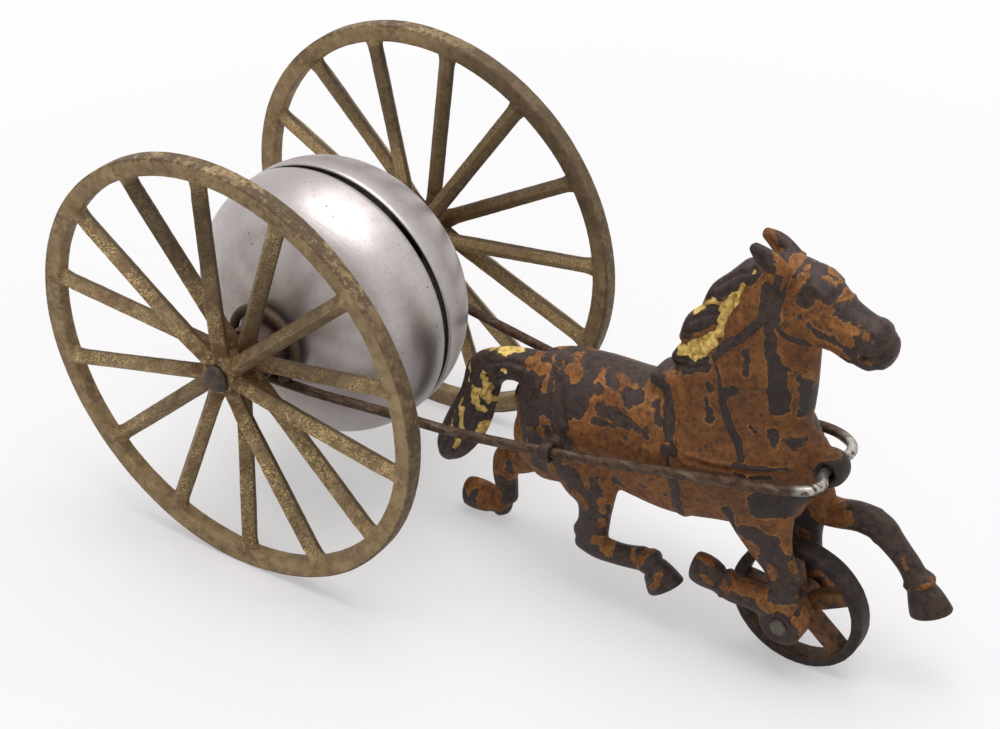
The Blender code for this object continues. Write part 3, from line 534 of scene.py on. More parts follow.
def cast(obj, marked, repeats, axis, warp, pitting, seed):
    """Run the casting tree on a piece whose first marked points are the ones that repeat."""
    store(obj.data, "spoke", np.arange(len(obj.data.vertices)) < marked)
    mod = obj.modifiers.new("casting", "NODES")
    mod.node_group = CASTING
    wanted = {
        "Spoke Pairs": repeats, "Axis X": axis.x * MM, "Axis Z": axis.z * MM, "Warp": warp,
        "Pitting": pitting, "Seed": seed,
    }
    for name, value in wanted.items():
        mod[CASTING_SOCKETS[name].identifier] = value
    made = evaluated(obj)
    obj.modifiers.clear()
    obj.data = made
    made.attributes.remove(made.attributes["spoke"])
    # how squarely each point faces along the axle; the wheel finish paints highlight and shade from
    # it
    store(made, "outward", np.abs(rows_of(made.vertex_normals, "vector")[:, 1]))
    made.polygons.foreach_set("use_smooth", [True] * len(made.polygons))
    return obj


def spoke_bar(start, end, section, flare, steps=36):
    """A bar between two points whose section (across, out) widens and sinks towards both ends."""
    start, end = Vector(start), Vector(end)
    along = (end - start).normalized()
    across = Vector((0.0, 1.0, 0.0)).cross(along).normalized()
    out = along.cross(across)
    verts = []
    for i in range(steps + 1):
        t = i / steps
        foot, head = max(0.0, 1 - t / 0.16), max(0.0, 1 - (1 - t) / 0.1)
        spread = 1 + flare[0] * foot ** 2 + flare[1] * head ** 2.2
        centre = start + (end - start) * t
        rise = (1 + 0.4 * (spread - 1)) * (1 - 0.35 * foot) * (1 - 0.3 * head)
        for a, b in section:
            verts.append((centre + across * a * spread + out * b * rise) * MM)
    return verts, tube_faces(steps + 1, len(section))


def about(centre, radius, angle, y):
    return Vector((centre.x + radius * math.cos(angle), y, centre.z + radius * math.sin(angle)))


def road_wheel(name, side, turn, seed):
    """Ridged spokes that go by turns to the outer and the inner end of the hub."""
    rim_y, hub_end, hub_length, inset = side * RIM_Y, 40.0, 9.6, 1.7
    ridge = rounded([(1.95, 0.0), (0.0, 2.5), (-1.95, 0.0), (-1.6, -1.1), (0.0, -1.9), (1.6, -1.1)],
                    0.18, 2)
    bars = []
    for i, foot_in in enumerate((hub_length - inset, inset)):
        angle = 2 * math.pi * (i + turn) / SPOKES
        foot = about(AXLE, 2.9, angle, side * (hub_end - foot_in))
        head = about(AXLE, 47.9, angle, rim_y)
        bars.append(spoke_bar(foot, head, [(a, side * b) for a, b in ridge], (0.5, 0.85)))
    rim = rounded([(46.5, rim_y + 1.75), (50.75, rim_y + 1.95), (50.75, rim_y - 1.95),
                   (46.5, rim_y - 1.75)], 0.7)
    hub = [(AXLE_BORE, 4.8), (3.6, 4.8), (4.3, 4.3), (4.4, 3.2), (3.7, 1.6)]
    hub = [(r, -y) for r, y in hub] + [(3.5, 0.0)] + hub[::-1]
    hub = [(r, side * (hub_end - hub_length / 2) + y) for r, y in hub]
    obj = solid(name, *joined(bars + [lathe(rim, 224, AXLE, True), lathe(hub, 48, AXLE, True)]))
    marked = sum(len(verts) for verts, _ in bars)
    return cast(obj, marked, SPOKES // 2, AXLE, 0.55, 0.22, seed)


def front_wheel():
    """Five flat spokes between a rim and a hub."""
    flat = rounded([(1.75, -1.9), (1.75, 1.9), (-1.75, 1.9), (-1.75, -1.9)], 0.6, 3)
    angle = math.radians(31.0)
    foot, head = about(FRONT, 2.9, angle, 0.0), about(FRONT, 13.4, angle, 0.0)
    bar = spoke_bar(foot, head, flat, (0.15, 0.3), 16)
    rim = rounded([(12.6, 2.2), (15.0, 2.3), (15.0, -2.3), (12.6, -2.2)], 0.7)
    hub = rounded([(2.0, 3.9), (3.9, 3.9), (3.9, -3.9), (2.0, -3.9)], 0.5)
    obj = solid("front_wheel_casting",
                *joined([bar, lathe(rim, 120, FRONT, True), lathe(hub, 40, FRONT, True)]))
    return cast(obj, len(bar[0]), 5, FRONT, 0.3, 0.25, 4.0)


def gong(name, side):
    """A spun dome with a rolled lip at its mouth and a bore for the axle at its crown."""
    mouth, depth, wall, half_gap, bulge, count = 31.8, 21.7, 1.0, 0.85, 2 / 2.3, 44

    def curve(inset):
        points = []
        for i in range(count + 1):
            t = math.pi / 2 * i / count
            r = AXLE_BORE + (mouth - inset - AXLE_BORE) * math.sin(t) ** bulge
            points.append((r, (depth - inset) * math.cos(t) ** bulge if i < count else 0.0))
        return points

    lip = [(mouth, 0.3), (31.65, 0.08), (31.3, 0.0), (31.0, 0.08)]
    profile = curve(0.0)[:-1] + lip + curve(wall)[::-1][1:]
    profile = [(r, side * (half_gap + y)) for r, y in profile]
    return solid(name, *lathe(profile, 160, AXLE, True))


def hammered_pin(name, centre, half, shank, head, height, seed):
    """A pin with domed heads, each a little uneven from the hammer."""
    dome = [(0.0, height), (head * 0.3, height * 0.97), (head * 0.58, height * 0.84),
            (head * 0.8, height * 0.6), (head * 0.95, height * 0.28), (head, 0.02)]
    top = [(r, half + y) for r, y in dome] + [(shank, half)]
    verts, faces = lathe(top + [(r, -y) for r, y in reversed(top)], 40, centre, False)
    rng = np.random.default_rng(seed)
    lean = rng.uniform(0.0, 2 * math.pi)
    moved = []
    for v in verts:
        core = Vector((centre.x * MM, v.y, centre.z * MM))
        a = math.atan2(v.z - core.z, v.x - core.x)
        dent = 0.02 + 0.05 * math.cos(3 * (a - lean)) + 0.04 * math.cos(2 * a + lean)
        moved.append(core + (v - core) * (1 - dent * (abs(v.y) / MM > half - 0.01)))
    return solid(name, moved, faces)


def sleeve(name, side):
    low, high, outer = 22.85, 30.1, 6.3
    profile = rounded([(AXLE_BORE, low), (outer, low), (outer, high), (AXLE_BORE, high)], 0.5)
    return solid(name, *lathe([(r, side * y) for r, y in profile], 64, AXLE, True))


# Wire

def smooth_rows(rows, steps):
    """Rows of numbers joined by Catmull-Rom curves, with some steps from each to the next."""
    rows = [np.array(r, dtype=float) for r in rows]
    last = len(rows) - 1
    made = []
    for i in range(last):
        p0, p1, p2, p3 = rows[max(i - 1, 0)], rows[i], rows[i + 1], rows[min(i + 2, last)]
        for k in range(steps):
            t = k / steps
            made.append(0.5 * (2 * p1 + (p2 - p0) * t + (2 * p0 - 5 * p1 + 4 * p2 - p3) * t * t
                               + (3 * p1 - p0 - 3 * p2 + p3) * t ** 3))
    made.append(rows[last])
    return made


def wire_points():
    """The wire's middle line: an eye round each sleeve, a run by each flank, a bow at the chest."""
    eye_y, eye_r, axle_z = 24.3, 8.65, 50.8
    foot = axle_z - eye_r
    run = smooth_rows([
        (0.0, eye_y, foot), (14.0, eye_y - 0.8, foot), (30.0, eye_y - 3.4, foot - 0.4),
        (48.0, 18.1, 41.2), (67.0, 14.2, 41.6), (84.0, 13.3, 44.4), (101.0, 13.0, 48.0),
        (113.0, 12.6, 50.4), (120.0, 11.6, 51.4), (124.7, 9.2, 51.6), (125.9, 6.0, 51.5),
        (124.7, 3.2, 51.5), (124.7, 0.0, 51.5),
    ], 10)
    left = []
    for i in range(70):  # of the 76 in a whole turn: its free end stops just over the run
        angle = -math.pi / 2 - 2 * math.pi * (70 - i) / 76
        left.append(Vector((eye_r * math.cos(angle), eye_y, axle_z + eye_r * math.sin(angle))))
    left += [Vector(p) for p in run]
    right = [Vector((p.x, -p.y, p.z)) for p in left]
    return [p + FROM_AXLE for p in right + left[::-1][1:]]


def shaft_wire():
    path = wire_points()
    last, sides, radius, uneven = len(path) - 1, 14, 1.15, 0.015
    verts = []
    lift = Vector((0.0, 0.0, 1.0))
    for i, p in enumerate(path):
        along = (path[min(i + 1, last)] - path[max(i - 1, 0)]).normalized()
        lift = (lift - along * lift.dot(along)).normalized()
        across = along.cross(lift)
        for k in range(sides):
            a = 2 * math.pi * k / sides
            r = radius * (1 + uneven * math.sin(i * 0.7 + 2 * a) - uneven)
            verts.append((p + lift * r * math.cos(a) + across * r * math.sin(a)) * MM)
    return solid("shaft_wire_round", verts, tube_faces(len(path), sides))


# Horse: lofts through stations (x, z, y, half depth, half width)

TRUNK = [
    (52.6, 42.2, 0, 4.5, 3.5), (54.2, 42.2, 0, 10.4, 6.4), (58.2, 41.9, 0, 13.1, 9.4),
    (65, 42.9, 0, 14.6, 10.8), (73, 44.4, 0, 14.5, 10.5), (82, 44, 0, 15.4, 10.4),
    (90, 44.3, 0, 16.2, 10.8), (99, 46.2, 0, 15.9, 11), (108, 48.5, 0, 16, 10.8),
    (115, 51.4, 0, 13.8, 9.5), (119.4, 52.4, 0, 10.5, 7), (121.4, 52.8, 0, 5.5, 4),
]
NECK = [
    (103, 54, 0, 16, 10), (105.5, 62, 0, 14.5, 9), (108, 70, 0, 13, 7.8),
    (110.3, 78, 0, 10.8, 6.8), (112, 85, 0, 8.8, 6), (112.5, 90, 0, 6.5, 5.2),
]
HEAD = [
    (108, 90.5, 0, 4.6, 3.8), (111.8, 90, 0, 7, 4.9), (116.6, 88.5, 0, 8.1, 5.3),
    (121, 86.6, 0, 7.6, 5.2), (125.4, 85, 0, 5.8, 4.6), (129.4, 83.4, 0, 5.6, 4.4),
    (132.6, 82.7, 0, 5.5, 4.4), (134.4, 82.3, 0, 3.9, 3.4),
]
TAIL = [
    (57, 49.8, 0, 4.4, 5), (51.5, 49.9, 0, 3.5, 4.4), (46.4, 48.4, 0, 3.7, 4.1),
    (42.2, 45.2, 0, 4.5, 3.9), (40.8, 41, 0, 4.5, 3.7), (39.6, 37, 0, 4.6, 3.6),
    (38, 33, 0, 4.9, 3.5), (35.9, 28.7, 0, 5, 3.4), (33.5, 24.3, 0, 4.6, 3.2),
    (31.3, 20.6, 0, 3.7, 2.8), (30, 18.3, 0, 2.2, 1.8),
]
MANE = [
    [(107.5, 90, 0, 4.5, 3.8), (104, 85.5, 0, 4.8, 4.2), (99.5, 82, 0, 4, 3.4),
     (95.8, 79.2, 0, 1.3, 1.3)],
    [(105, 81, 0, 5.5, 4.4), (99, 76.5, 0, 5, 4), (94.2, 72.9, 0, 4.2, 3.2),
     (90.9, 70.6, 0, 1.3, 1.3)],
    [(103, 71.5, 0, 6.5, 5), (96, 68, 0, 4.6, 4), (91.6, 66.2, 0, 3.2, 3),
     (89.4, 65.3, 0, 1.5, 1.6)],
]
SADDLE = [
    (86.6, 59.3, 0, 2.7, 4.2), (87.2, 59.6, 0, 3.1, 4.8), (90, 60.4, 0, 3.1, 5.2),
    (93.2, 61.1, 0, 2.6, 4.6),
]
# Limbs of each half; the last form of each is the ear
RIGHT_LEGS = [
    [(57.2, 36.2, 5, 7.6, 4), (60, 36.5, 5.4, 9.3, 4.8), (65, 37, 5.6, 8.9, 5),
     (70, 37, 5.6, 8.6, 4.8), (76, 38, 5.2, 8, 4.2)],
    [(72.5, 34, 6.2, 9.4, 4.2), (73.2, 30.6, 6.5, 7.6, 3.7), (74.1, 27.6, 6.8, 4.9, 3.2),
     (74.2, 24.6, 6.8, 3.9, 2.9), (73.8, 20.6, 6.8, 3.7, 2.7), (73, 17.2, 6.8, 4.3, 2.5)],
    [(71.2, 15.9, 6.8, 2.9, 2.3), (75, 14.9, 6.8, 2.9, 2.4), (80, 15, 6.8, 2.6, 2.3),
     (84, 15.7, 6.8, 2.7, 2.3), (86.6, 16.4, 6.8, 2.9, 2.4)],
    [(111.6, 43.5, 5.5, 9.2, 4.2), (113.4, 38, 6.2, 7.6, 3.8), (116, 32.5, 6.9, 5.2, 2.9),
     (118.2, 28.7, 6.9, 3.9, 2.6), (119.5, 25, 6.9, 3.3, 2.6), (120.1, 20.2, 6.9, 3.2, 2.6),
     (120.2, 16, 6.9, 3.8, 2.6)],
    [(118, 18.4, 7.4, 4, 2.6), (113.2, 19, 7.8, 3.2, 2.6), (109.2, 18.9, 8, 3.1, 2.6),
     (106.4, 19.6, 8, 3.3, 2.6)],
    [(114, 93, 3.6, 3, 2), (111, 97, 4.6, 2.6, 1.6), (108.3, 99.6, 5.4, 1.2, 1)],
]
LEFT_LEGS = [
    [(58, 31.5, 5, 7, 4.2), (52.5, 24.8, 5.4, 5, 3.8), (47.3, 20, 5.8, 3.8, 3.2),
     (43.6, 18.2, 5.8, 4, 2.9), (42.2, 14.2, 5.8, 3.1, 2.8), (42.4, 10.5, 5.8, 2.7, 2.6),
     (42.4, 7, 5.8, 2.7, 2.5)],
    [(113, 41, 5.5, 7.6, 4), (118.5, 36.4, 6.5, 4.8, 3.4), (123.1, 35.2, 7, 3.4, 3),
     (128.6, 36.3, 7, 3.3, 2.9), (132.5, 36.1, 7, 3.5, 2.8)],
    [(132, 36.3, 7, 3.3, 2.6), (134.2, 35, 7, 3.4, 2.7), (136.4, 33, 7, 2.8, 2.6),
     (138.8, 30.6, 7, 2.5, 2.5), (140.8, 28.3, 7, 2.5, 2.5), (142.4, 25.6, 7, 2.7, 2.5)],
    [(118.5, 40, 6.4, 5, 3.2), (117, 30, 6.9, 4, 2.6), (118.2, 22, 6.9, 3.2, 2.6),
     (120.2, 15, 6.9, 3.4, 2.6)],
    [(113.5, 92, 3.4, 3, 2), (109, 95.4, 4.4, 2.4, 1.6), (105.4, 96.6, 5, 1.2, 1)],
]
RIGHT_HOOVES = [
    [(86.6, 17.2, 6.8, 2.6, 2.4), (87.9, 16.3, 6.8, 3.4, 2.9), (88.7, 15.6, 6.8, 3, 2.6),
     (90.5, 13.5, 6.8, 4.1, 2.9), (91.9, 11.5, 6.8, 5, 3), (92.2, 11.1, 6.8, 4.9, 2.9)],
    [(108, 19.2, 8, 3, 2.5), (106.6, 19.6, 8, 3.8, 3), (105.8, 19.8, 8, 3.1, 2.5),
     (103.2, 20.6, 8, 3.8, 2.8), (101, 21, 8, 3.9, 2.8), (99.5, 21.2, 8, 3.5, 2.6)],
]
LEFT_HOOVES = [
    [(42.4, 5.3, 5.8, 3, 2.5), (40.4, 5, 5.8, 3.9, 3), (39.5, 4.9, 5.8, 3.2, 2.6),
     (36.4, 4.6, 5.8, 3.9, 3), (33.4, 4.4, 5.8, 4, 3.1), (31.6, 4.3, 5.8, 3.7, 2.9)],
    [(142, 26.8, 7, 2.7, 2.5), (142.9, 25.4, 7, 3.8, 3), (143.3, 24.6, 7, 3.2, 2.6),
     (144.8, 21.8, 7, 4.2, 3), (146, 19.4, 7, 4.9, 3.1), (146.3, 18.8, 7, 4.9, 3)],
]
# The front axle's post and the wire's lug (x, z), its eye at the chest (x, y, z), and how fine
# the skin is and how far it stops from the middle plane
POST = (120.2, 15.0)
LUG = (67.0, 41.8)
CHEST_EYE = (124.7, 0.0, 51.5)
VOXEL, SEAM = 0.38, 0.015


def loft(stations, side, blunt=0.55, boxy=1.0):
    """A closed tapered form, its stations joined by smooth curves and its ends domed."""
    points = [Vector(s) for s in smooth_rows(stations, 4)]
    last, sides = len(points) - 1, 28
    rings = []
    for i, s in enumerate(points):
        ahead = points[min(i + 1, last)] - points[max(i - 1, 0)]
        along = Vector((ahead[0], 0.0, ahead[1])).normalized()
        square = Vector((-along.z, 0.0, along.x))
        rings.append((Vector((s[0], side * s[2], s[1])), square, along, s[3], s[4]))
    caps = []
    for end, way in ((0, -1), (last, 1)):
        centre, square, along, depth, width = rings[end]
        cap = []
        for k in (1, 2, 3):
            t = math.pi / 2 * k / 3.4
            cap.append((centre + along * way * depth * blunt * math.sin(t), square, along,
                        depth * math.cos(t), width * math.cos(t)))
        caps.append(cap)
    rings = caps[0][::-1] + rings + caps[1]
    verts = []
    for centre, square, along, depth, width in rings:
        for k in range(sides):
            a = 2 * math.pi * k / sides
            high = math.copysign(abs(math.cos(a)) ** boxy, math.cos(a))
            wide = math.copysign(abs(math.sin(a)) ** boxy, math.sin(a))
            out = square * depth * high + Vector((0.0, width * wide, 0.0))
            verts.append((centre + out + FROM_AXLE) * MM)
    return verts, tube_faces(len(rings), sides)


def ring_eye(centre, axis, major, minor, stretch):
    """A cast eye: a ring round the wire, stretched along the axis."""
    axis = Vector(axis)
    first = axis.orthogonal().normalized()
    second = axis.cross(first)
    verts = []
    around, through = 28, 12
    for i in range(around):
        a = 2 * math.pi * i / around
        out = first * math.cos(a) + second * math.sin(a)
        for k in range(through):
            b = 2 * math.pi * k / through
            p = out * (major + minor * math.cos(b)) + axis * minor * stretch * math.sin(b)
            verts.append((Vector(centre) + p + FROM_AXLE) * MM)
    return verts, tube_faces(around, through, loop=True)


def flank_rod(at, y_low, y_high, radius, side):
    """A round lug along Y."""
    core = 0.001
    rows = rounded([(core, y_low), (radius, y_low), (radius, y_high), (core, y_high)], 0.5)
    return lathe([(r, side * y) for r, y in rows], 28, (at[0] + AXLE.x, 0.0, at[1]), True)


# Relief strokes on the side view: half width, height, then x, z of each point

STRAPS = [
    # girth
    (1.7, 0.45, 90, 62.5, 92.2, 56, 93.8, 50.5, 94.4, 46, 96, 41, 95.5, 35.5, 94.8, 30),
    # collar
    (1.2, 0.4, 101.6, 73.2, 103.2, 70, 104.2, 65.6, 106.6, 60.4, 109.2, 56.2, 110, 53.4),
    # rein from the bit to the saddle, and the throat strap
    (1.1, 0.4, 112.4, 86, 109.6, 83, 106.8, 79, 103.4, 75.6, 101.4, 73),
    (0.7, 0.3, 114.2, 95.6, 113.4, 92.4, 113.6, 88.6, 115.4, 83.8, 119.8, 80.6),
    # noseband
    (0.7, 0.25, 126, 91, 125, 86.4, 123.4, 80.8),
    # breeching strap over the rump and down to the lug
    (0.9, 0.32, 66.6, 59, 65.2, 54.6, 65.2, 49.6, 66.6, 45),
    (0.7, 0.28, 55, 54.6, 61, 56.6, 66, 57.4),
    # traces along the flank
    (0.7, 0.4, 98, 50.8, 104, 51.2, 112, 52.6, 119.5, 53.4),
    (0.7, 0.4, 98, 48.6, 104, 49.4, 112, 50.6, 119.5, 51.6),
]
CARVING = [
    # mouth, lips and the hole at its corner
    (0.5, -0.45, 131.7, 82, 133.6, 82.6, 136, 82.8), (1, -1.1, 131.6, 81.9, 131.8, 81.8),
    (0.9, 0.25, 131, 84.2, 134.6, 84.4), (1.2, 0.3, 131.6, 79.8, 134.2, 79.8),
    # nostril
    (1.7, 0.35, 132.2, 86.6, 133, 85.9), (0.8, -0.7, 132.3, 86.6, 132.8, 86.2),
    # eye: socket, ball, lids and brow
    (2.4, -0.75, 118.9, 91, 119.1, 91), (1.45, 0.75, 118.9, 91, 119, 91),
    (0.9, 0.5, 116.4, 91.8, 118, 93.4, 120.2, 93.4, 122.6, 92),
    (1.8, 0.35, 119.6, 94.4, 122.6, 93.2), (0.6, 0.25, 117, 89.6, 119, 88.8, 121.4, 89.6),
    # cheekbone, jaw muscle and the hollow between them
    (1.2, 0.4, 120.6, 88, 125, 86.8, 129.4, 86), (1.2, -0.45, 119.6, 85.4, 124, 83.8, 128.4, 82.6),
    (3.6, 0.5, 114.6, 86.8, 116.4, 85.6), (1, 0.3, 118, 80.8, 123, 80.2, 128, 79.4),
    # throat and front of the neck
    (1.2, -0.4, 113.6, 79.6, 114.6, 74, 115.6, 66), (1.4, 0.3, 117.4, 77.4, 118.4, 70, 118.6, 63),
    # shoulder, chest and stifle
    (2.4, 0.35, 111, 56, 112.6, 50, 111.6, 44), (1.1, -0.4, 108.6, 47, 107, 41, 108.6, 35),
    (3.4, 0.4, 113, 44, 118.6, 44.4), (1.4, -0.4, 77.6, 46, 78.4, 40, 77, 33),
    (3.6, 0.35, 59, 52, 60, 44, 62, 38), (1.2, -0.3, 67, 53, 68.6, 47.4),
    (1.2, -0.2, 82, 33, 86, 36.5, 92, 39),
    # hocks, knees and hooves
    (1, 0.25, 75.6, 22, 75, 17.6), (0.6, -0.3, 91.4, 18.4, 87, 13),
    (0.6, -0.35, 106.2, 23.6, 105.8, 16.4), (0.6, -0.3, 142.4, 25.8, 147.4, 25),
    (0.6, -0.35, 38.6, 8.4, 38.2, 1.6), (0.6, -0.3, 118.6, 24.4, 119.6, 17),
    (1.4, 0.3, 132.4, 37, 133.6, 33.6),
]
EARS = {-1: (1, -0.6, 112.4, 95.2, 109.6, 98.6), 1: (0.8, -0.4, 111.8, 93.6, 107.4, 96)}
# Grooves between the locks of mane and tail: x, z of each point
LOCKS = [
    (109.5, 94, 104, 91, 98.5, 86), (108, 91, 103.5, 87.6, 97, 82.6),
    (105.8, 89.6, 103.4, 85.4, 100.6, 83.6, 95.8, 80), (104, 86, 102, 80.4, 97, 76.4, 92.6, 73.4),
    (100.4, 81.2, 96.4, 79, 93.4, 76.4), (100.6, 78.6, 97.6, 74.4, 92.6, 71.4),
    (102.4, 78, 99.6, 72.6, 94, 69.4, 90, 67.8), (100.6, 72.4, 96, 69.2, 90.4, 66.6),
    (99.4, 70.4, 95, 67.4, 90.6, 65.4),
    (56, 52.6, 50, 52, 44, 49.4, 40.6, 43, 38, 36, 34.5, 28, 30.5, 20),
    (54, 50.2, 48.5, 50.2, 43.6, 46, 41.6, 39, 38.4, 31, 33.8, 22),
    (50, 48.4, 46.4, 46.4, 44, 41, 41.4, 33, 36.6, 24),
    (44, 50.8, 39.4, 45.6, 36.6, 38, 32.6, 29, 29.6, 22), (46, 45, 44.6, 38.6, 42, 31.6),
]

# Paint strokes on the side view: half width, then x, z of each point; orange goes over dark

DARK = [
    # eye, cheek, brow, nose, muzzle and chin
    (1.7, 118.9, 91, 119, 91), (2.1, 112.2, 90.6, 112.6, 86), (1.5, 119.8, 93.6, 123.6, 92.6),
    (1.3, 125.6, 90.4, 128.8, 89), (1.1, 128.6, 89.6, 131.8, 88.2, 135, 86.6),
    (1, 135.2, 85.4, 135.6, 81.6), (1.6, 130.2, 79.4, 134.6, 79.6),
    (1.5, 130.4, 84.4, 133.6, 82.4), (1.7, 133.8, 87, 135.4, 84, 134.4, 80.4),
    (1.1, 120.4, 85.6, 124.2, 84.2, 129, 82.2), (0.7, 118.6, 87.4, 121.6, 86.2),
    (0.6, 118, 81.2, 122.6, 79.8, 128, 79.4), (0.9, 129.6, 86.8, 130.6, 83.6),
    (0.8, 113.9, 94.6, 113.2, 91.6), (0.6, 116.2, 95.4, 119.4, 95.8, 123, 94.4),
    (0.9, 131.7, 81.9, 131.8, 81.8),
    # throat and neck
    (0.95, 108.6, 76.4, 109, 72.6), (1.3, 112.6, 84, 113.4, 79.6, 114.6, 74.4),
    (1.75, 114.8, 74, 115.8, 65.8), (0.8, 118.8, 73.4, 119.6, 69, 119.8, 64),
    (0.4, 115.8, 75.6, 119.4, 73.4), (1.1, 104.8, 66.4, 106.6, 67.8),
    (0.9, 100.8, 67.2, 101.5, 66.2), (0.95, 101.1, 63.6, 102.6, 59.8),
    (0.7, 110.8, 60.7, 112, 60.2), (0.85, 114.9, 60, 115.5, 58), (0.8, 118, 58.8, 119.4, 57.6),
    (0.4, 97.7, 57.2, 97.9, 57.1),
    # saddle, girth and flank
    (1.7, 86.8, 61.8, 89.4, 61.2), (0.9, 86, 63.4, 91, 64.2), (1.1, 88.6, 57.2, 90.2, 54.8),
    (1.15, 80.9, 56.6, 84.2, 56.4), (0.9, 82, 55.2, 82.6, 54.8), (0.7, 76.6, 57.6, 78.2, 57.4),
    (0.8, 74, 55.9, 75.2, 55.6), (1.4, 76.8, 52.6, 82.8, 52.2), (0.7, 76, 50.2, 80.4, 50),
    (0.4, 84, 52, 86.4, 51.6), (0.6, 83.2, 48.8, 83.5, 48.6), (0.9, 88.1, 51.6, 88.5, 50.8),
    (0.5, 88.7, 49.3, 88.8, 49.2), (0.8, 80.2, 36.6, 82, 35), (0.65, 86.8, 38.6, 90.2, 38),
    (0.45, 93, 38.4, 93.2, 38.2), (1.3, 107, 39, 108.6, 35.4), (0.5, 99, 46.6, 101.4, 46.8),
    # lug
    (2.7, 65.8, 41.8, 68.4, 42.2),
    # shoulder patch
    (3.1, 114.8, 44, 119, 44.8),
    # rump and back
    (3.4, 57.2, 51.6, 57.8, 45.4), (3.4, 61.4, 52.6, 62.2, 46.6), (3.3, 67.4, 54, 68, 50.6),
    (2.6, 70.8, 56.6, 71, 51.4), (2.3, 66, 51, 67.4, 46.4), (1.3, 56.5, 57.4, 62, 59),
    (0.5, 57, 56, 61, 57.2, 65.4, 57.4), (1.3, 53, 55, 56, 57.6, 62, 59.2, 74, 59.2, 83, 59.6),
    (2.2, 61.4, 40.4, 62.6, 34), (1.2, 57.4, 42.6, 58.2, 36.6), (1.4, 66, 38.4, 68, 33),
    # near legs
    (4.6, 72.6, 33.4, 74, 26, 73.6, 19), (4, 71, 15.4, 80, 15, 86.6, 15.4),
    (5, 89.4, 14.4, 93, 11.6), (2.3, 111.8, 36.4, 117, 35.2, 118.4, 31),
    (3.3, 117.6, 31.8, 119.4, 25.6, 120.2, 19.6), (3.6, 101, 20.6, 105.4, 20.4),
    (2, 109.4, 18.2, 113, 18.4, 117.4, 17.8), (4.6, 120.2, 14, 120.6, 12),
    # tail and mane
    (6.2, 53.6, 50.6, 49.6, 50.2, 44.4, 47.8, 41, 41, 37.8, 32.4, 30.6, 19),
    (2.6, 106.2, 92.6, 101.6, 88.4, 97.4, 84.4), (2, 99.6, 80.4, 95.4, 77.6, 91.6, 73.6),
    (1.6, 99.2, 70.4, 94.6, 67.6, 89.4, 65.6), (1.2, 94.8, 82, 92.6, 78),
    # ears
    (2, 109, 99.2, 111.6, 96.8),
]
DARK_STRAPS = [
    # girth, collar, throat strap, rein and trace
    (1.4, 90.6, 60, 92.4, 56.2, 93.2, 54), (1, 93.2, 54, 93.8, 51.6), (0.4, 94, 51, 94.3, 45.8),
    (1.15, 94.6, 45, 95.9, 41.4, 95.5, 36.4, 94.9, 31.6), (0.45, 101.4, 73, 103.3, 70, 104.6, 65),
    (0.85, 104.6, 65, 106.8, 60.2, 109.2, 56.2, 110, 54),
    (0.6, 113.2, 86, 115.2, 82.8, 119.4, 80.8),
    (0.5, 117.6, 98, 116.2, 94.8, 114.6, 90.6, 113.8, 87),
    (0.95, 112.4, 86, 109.4, 82.4, 106.4, 78.8, 103, 75.4, 101.4, 73),
    (0.4, 108.6, 52.2, 112, 52.6, 118.8, 53.4), (0.4, 109, 50.4, 112, 50.6, 117, 51.4),
    # chest eye
    (3.3, 126, 51.5, 126.2, 51.5),
]
DARK_FAR = [
    (3.4, 128, 37.6, 133.4, 36.2, 138, 31, 142, 26.6), (4.2, 145, 22, 147.6, 19.4),
    (0.9, 45, 19, 45.2, 16.8), (1.9, 42.6, 13.2, 44.4, 10.4, 44.6, 6), (1.2, 35, 6.8, 34.6, 2),
    (1.4, 31.6, 5.6, 31.4, 2.4), (1, 40, 2.8, 43, 3.4), (2.2, 117.4, 34, 118.2, 24, 120, 16),
    (0.8, 44.8, 23.2, 50, 24.6),
]
ORANGE = [
    # rump streaks and blotch
    (1, 54.6, 53, 58, 54.4, 61.4, 55), (0.75, 61.8, 54.8, 62.2, 52), (1, 66.4, 56.6, 68.6, 56.4),
    (0.9, 62.6, 43.2, 65.2, 40.8), (0.5, 63.6, 46.4, 65, 45.8), (0.35, 58.4, 57, 62.4, 57.8),
    # head
    (0.75, 116.2, 93.4, 116, 89.6, 117.2, 87.6), (0.8, 119.6, 88, 122.4, 88.6, 124.6, 89.8),
    (0.7, 121.8, 87.2, 124.6, 87.6), (0.75, 126, 87, 129.2, 87),
    (1, 116.8, 84.8, 119.4, 83.6, 124.4, 81.8), (0.7, 126.4, 84.6, 128.6, 84.4),
    (0.3, 121, 95, 123.4, 93.8),
    # near hind leg
    (0.9, 70.6, 37.4, 76.6, 36.8), (0.8, 73.4, 35.2, 74.2, 33), (1.1, 71.2, 29.6, 73.2, 27.6),
    (0.8, 77, 29.4, 77.2, 26.8), (1.3, 76, 18.4, 78.2, 16.6), (0.6, 84.6, 17.8, 86.8, 14.4),
    (0.8, 87.4, 18.6, 86, 15.4), (0.9, 91.4, 15, 90.4, 12), (0.4, 77, 24, 76.8, 22),
    # near foreleg
    (1.1, 109.4, 39.2, 112.6, 39.2, 120, 39.4), (0.5, 113, 34, 114.4, 32.4),
    (0.9, 117.4, 29.4, 118.4, 27), (1.1, 115.8, 20, 118.6, 19, 122.4, 20.2),
    (0.7, 111.4, 21.6, 115.6, 21.4), (0.9, 107.4, 21.6, 108.4, 20), (0.5, 103, 21.6, 104.6, 20.2),
]
ORANGE_FAR = [
    (1.7, 121.4, 38, 127, 36.6), (0.6, 131.4, 36.2, 131.8, 36.1),
    (0.45, 139.6, 24.4, 142.6, 25.2, 145.6, 27), (0.5, 139.6, 31.4, 141, 29.4),
]
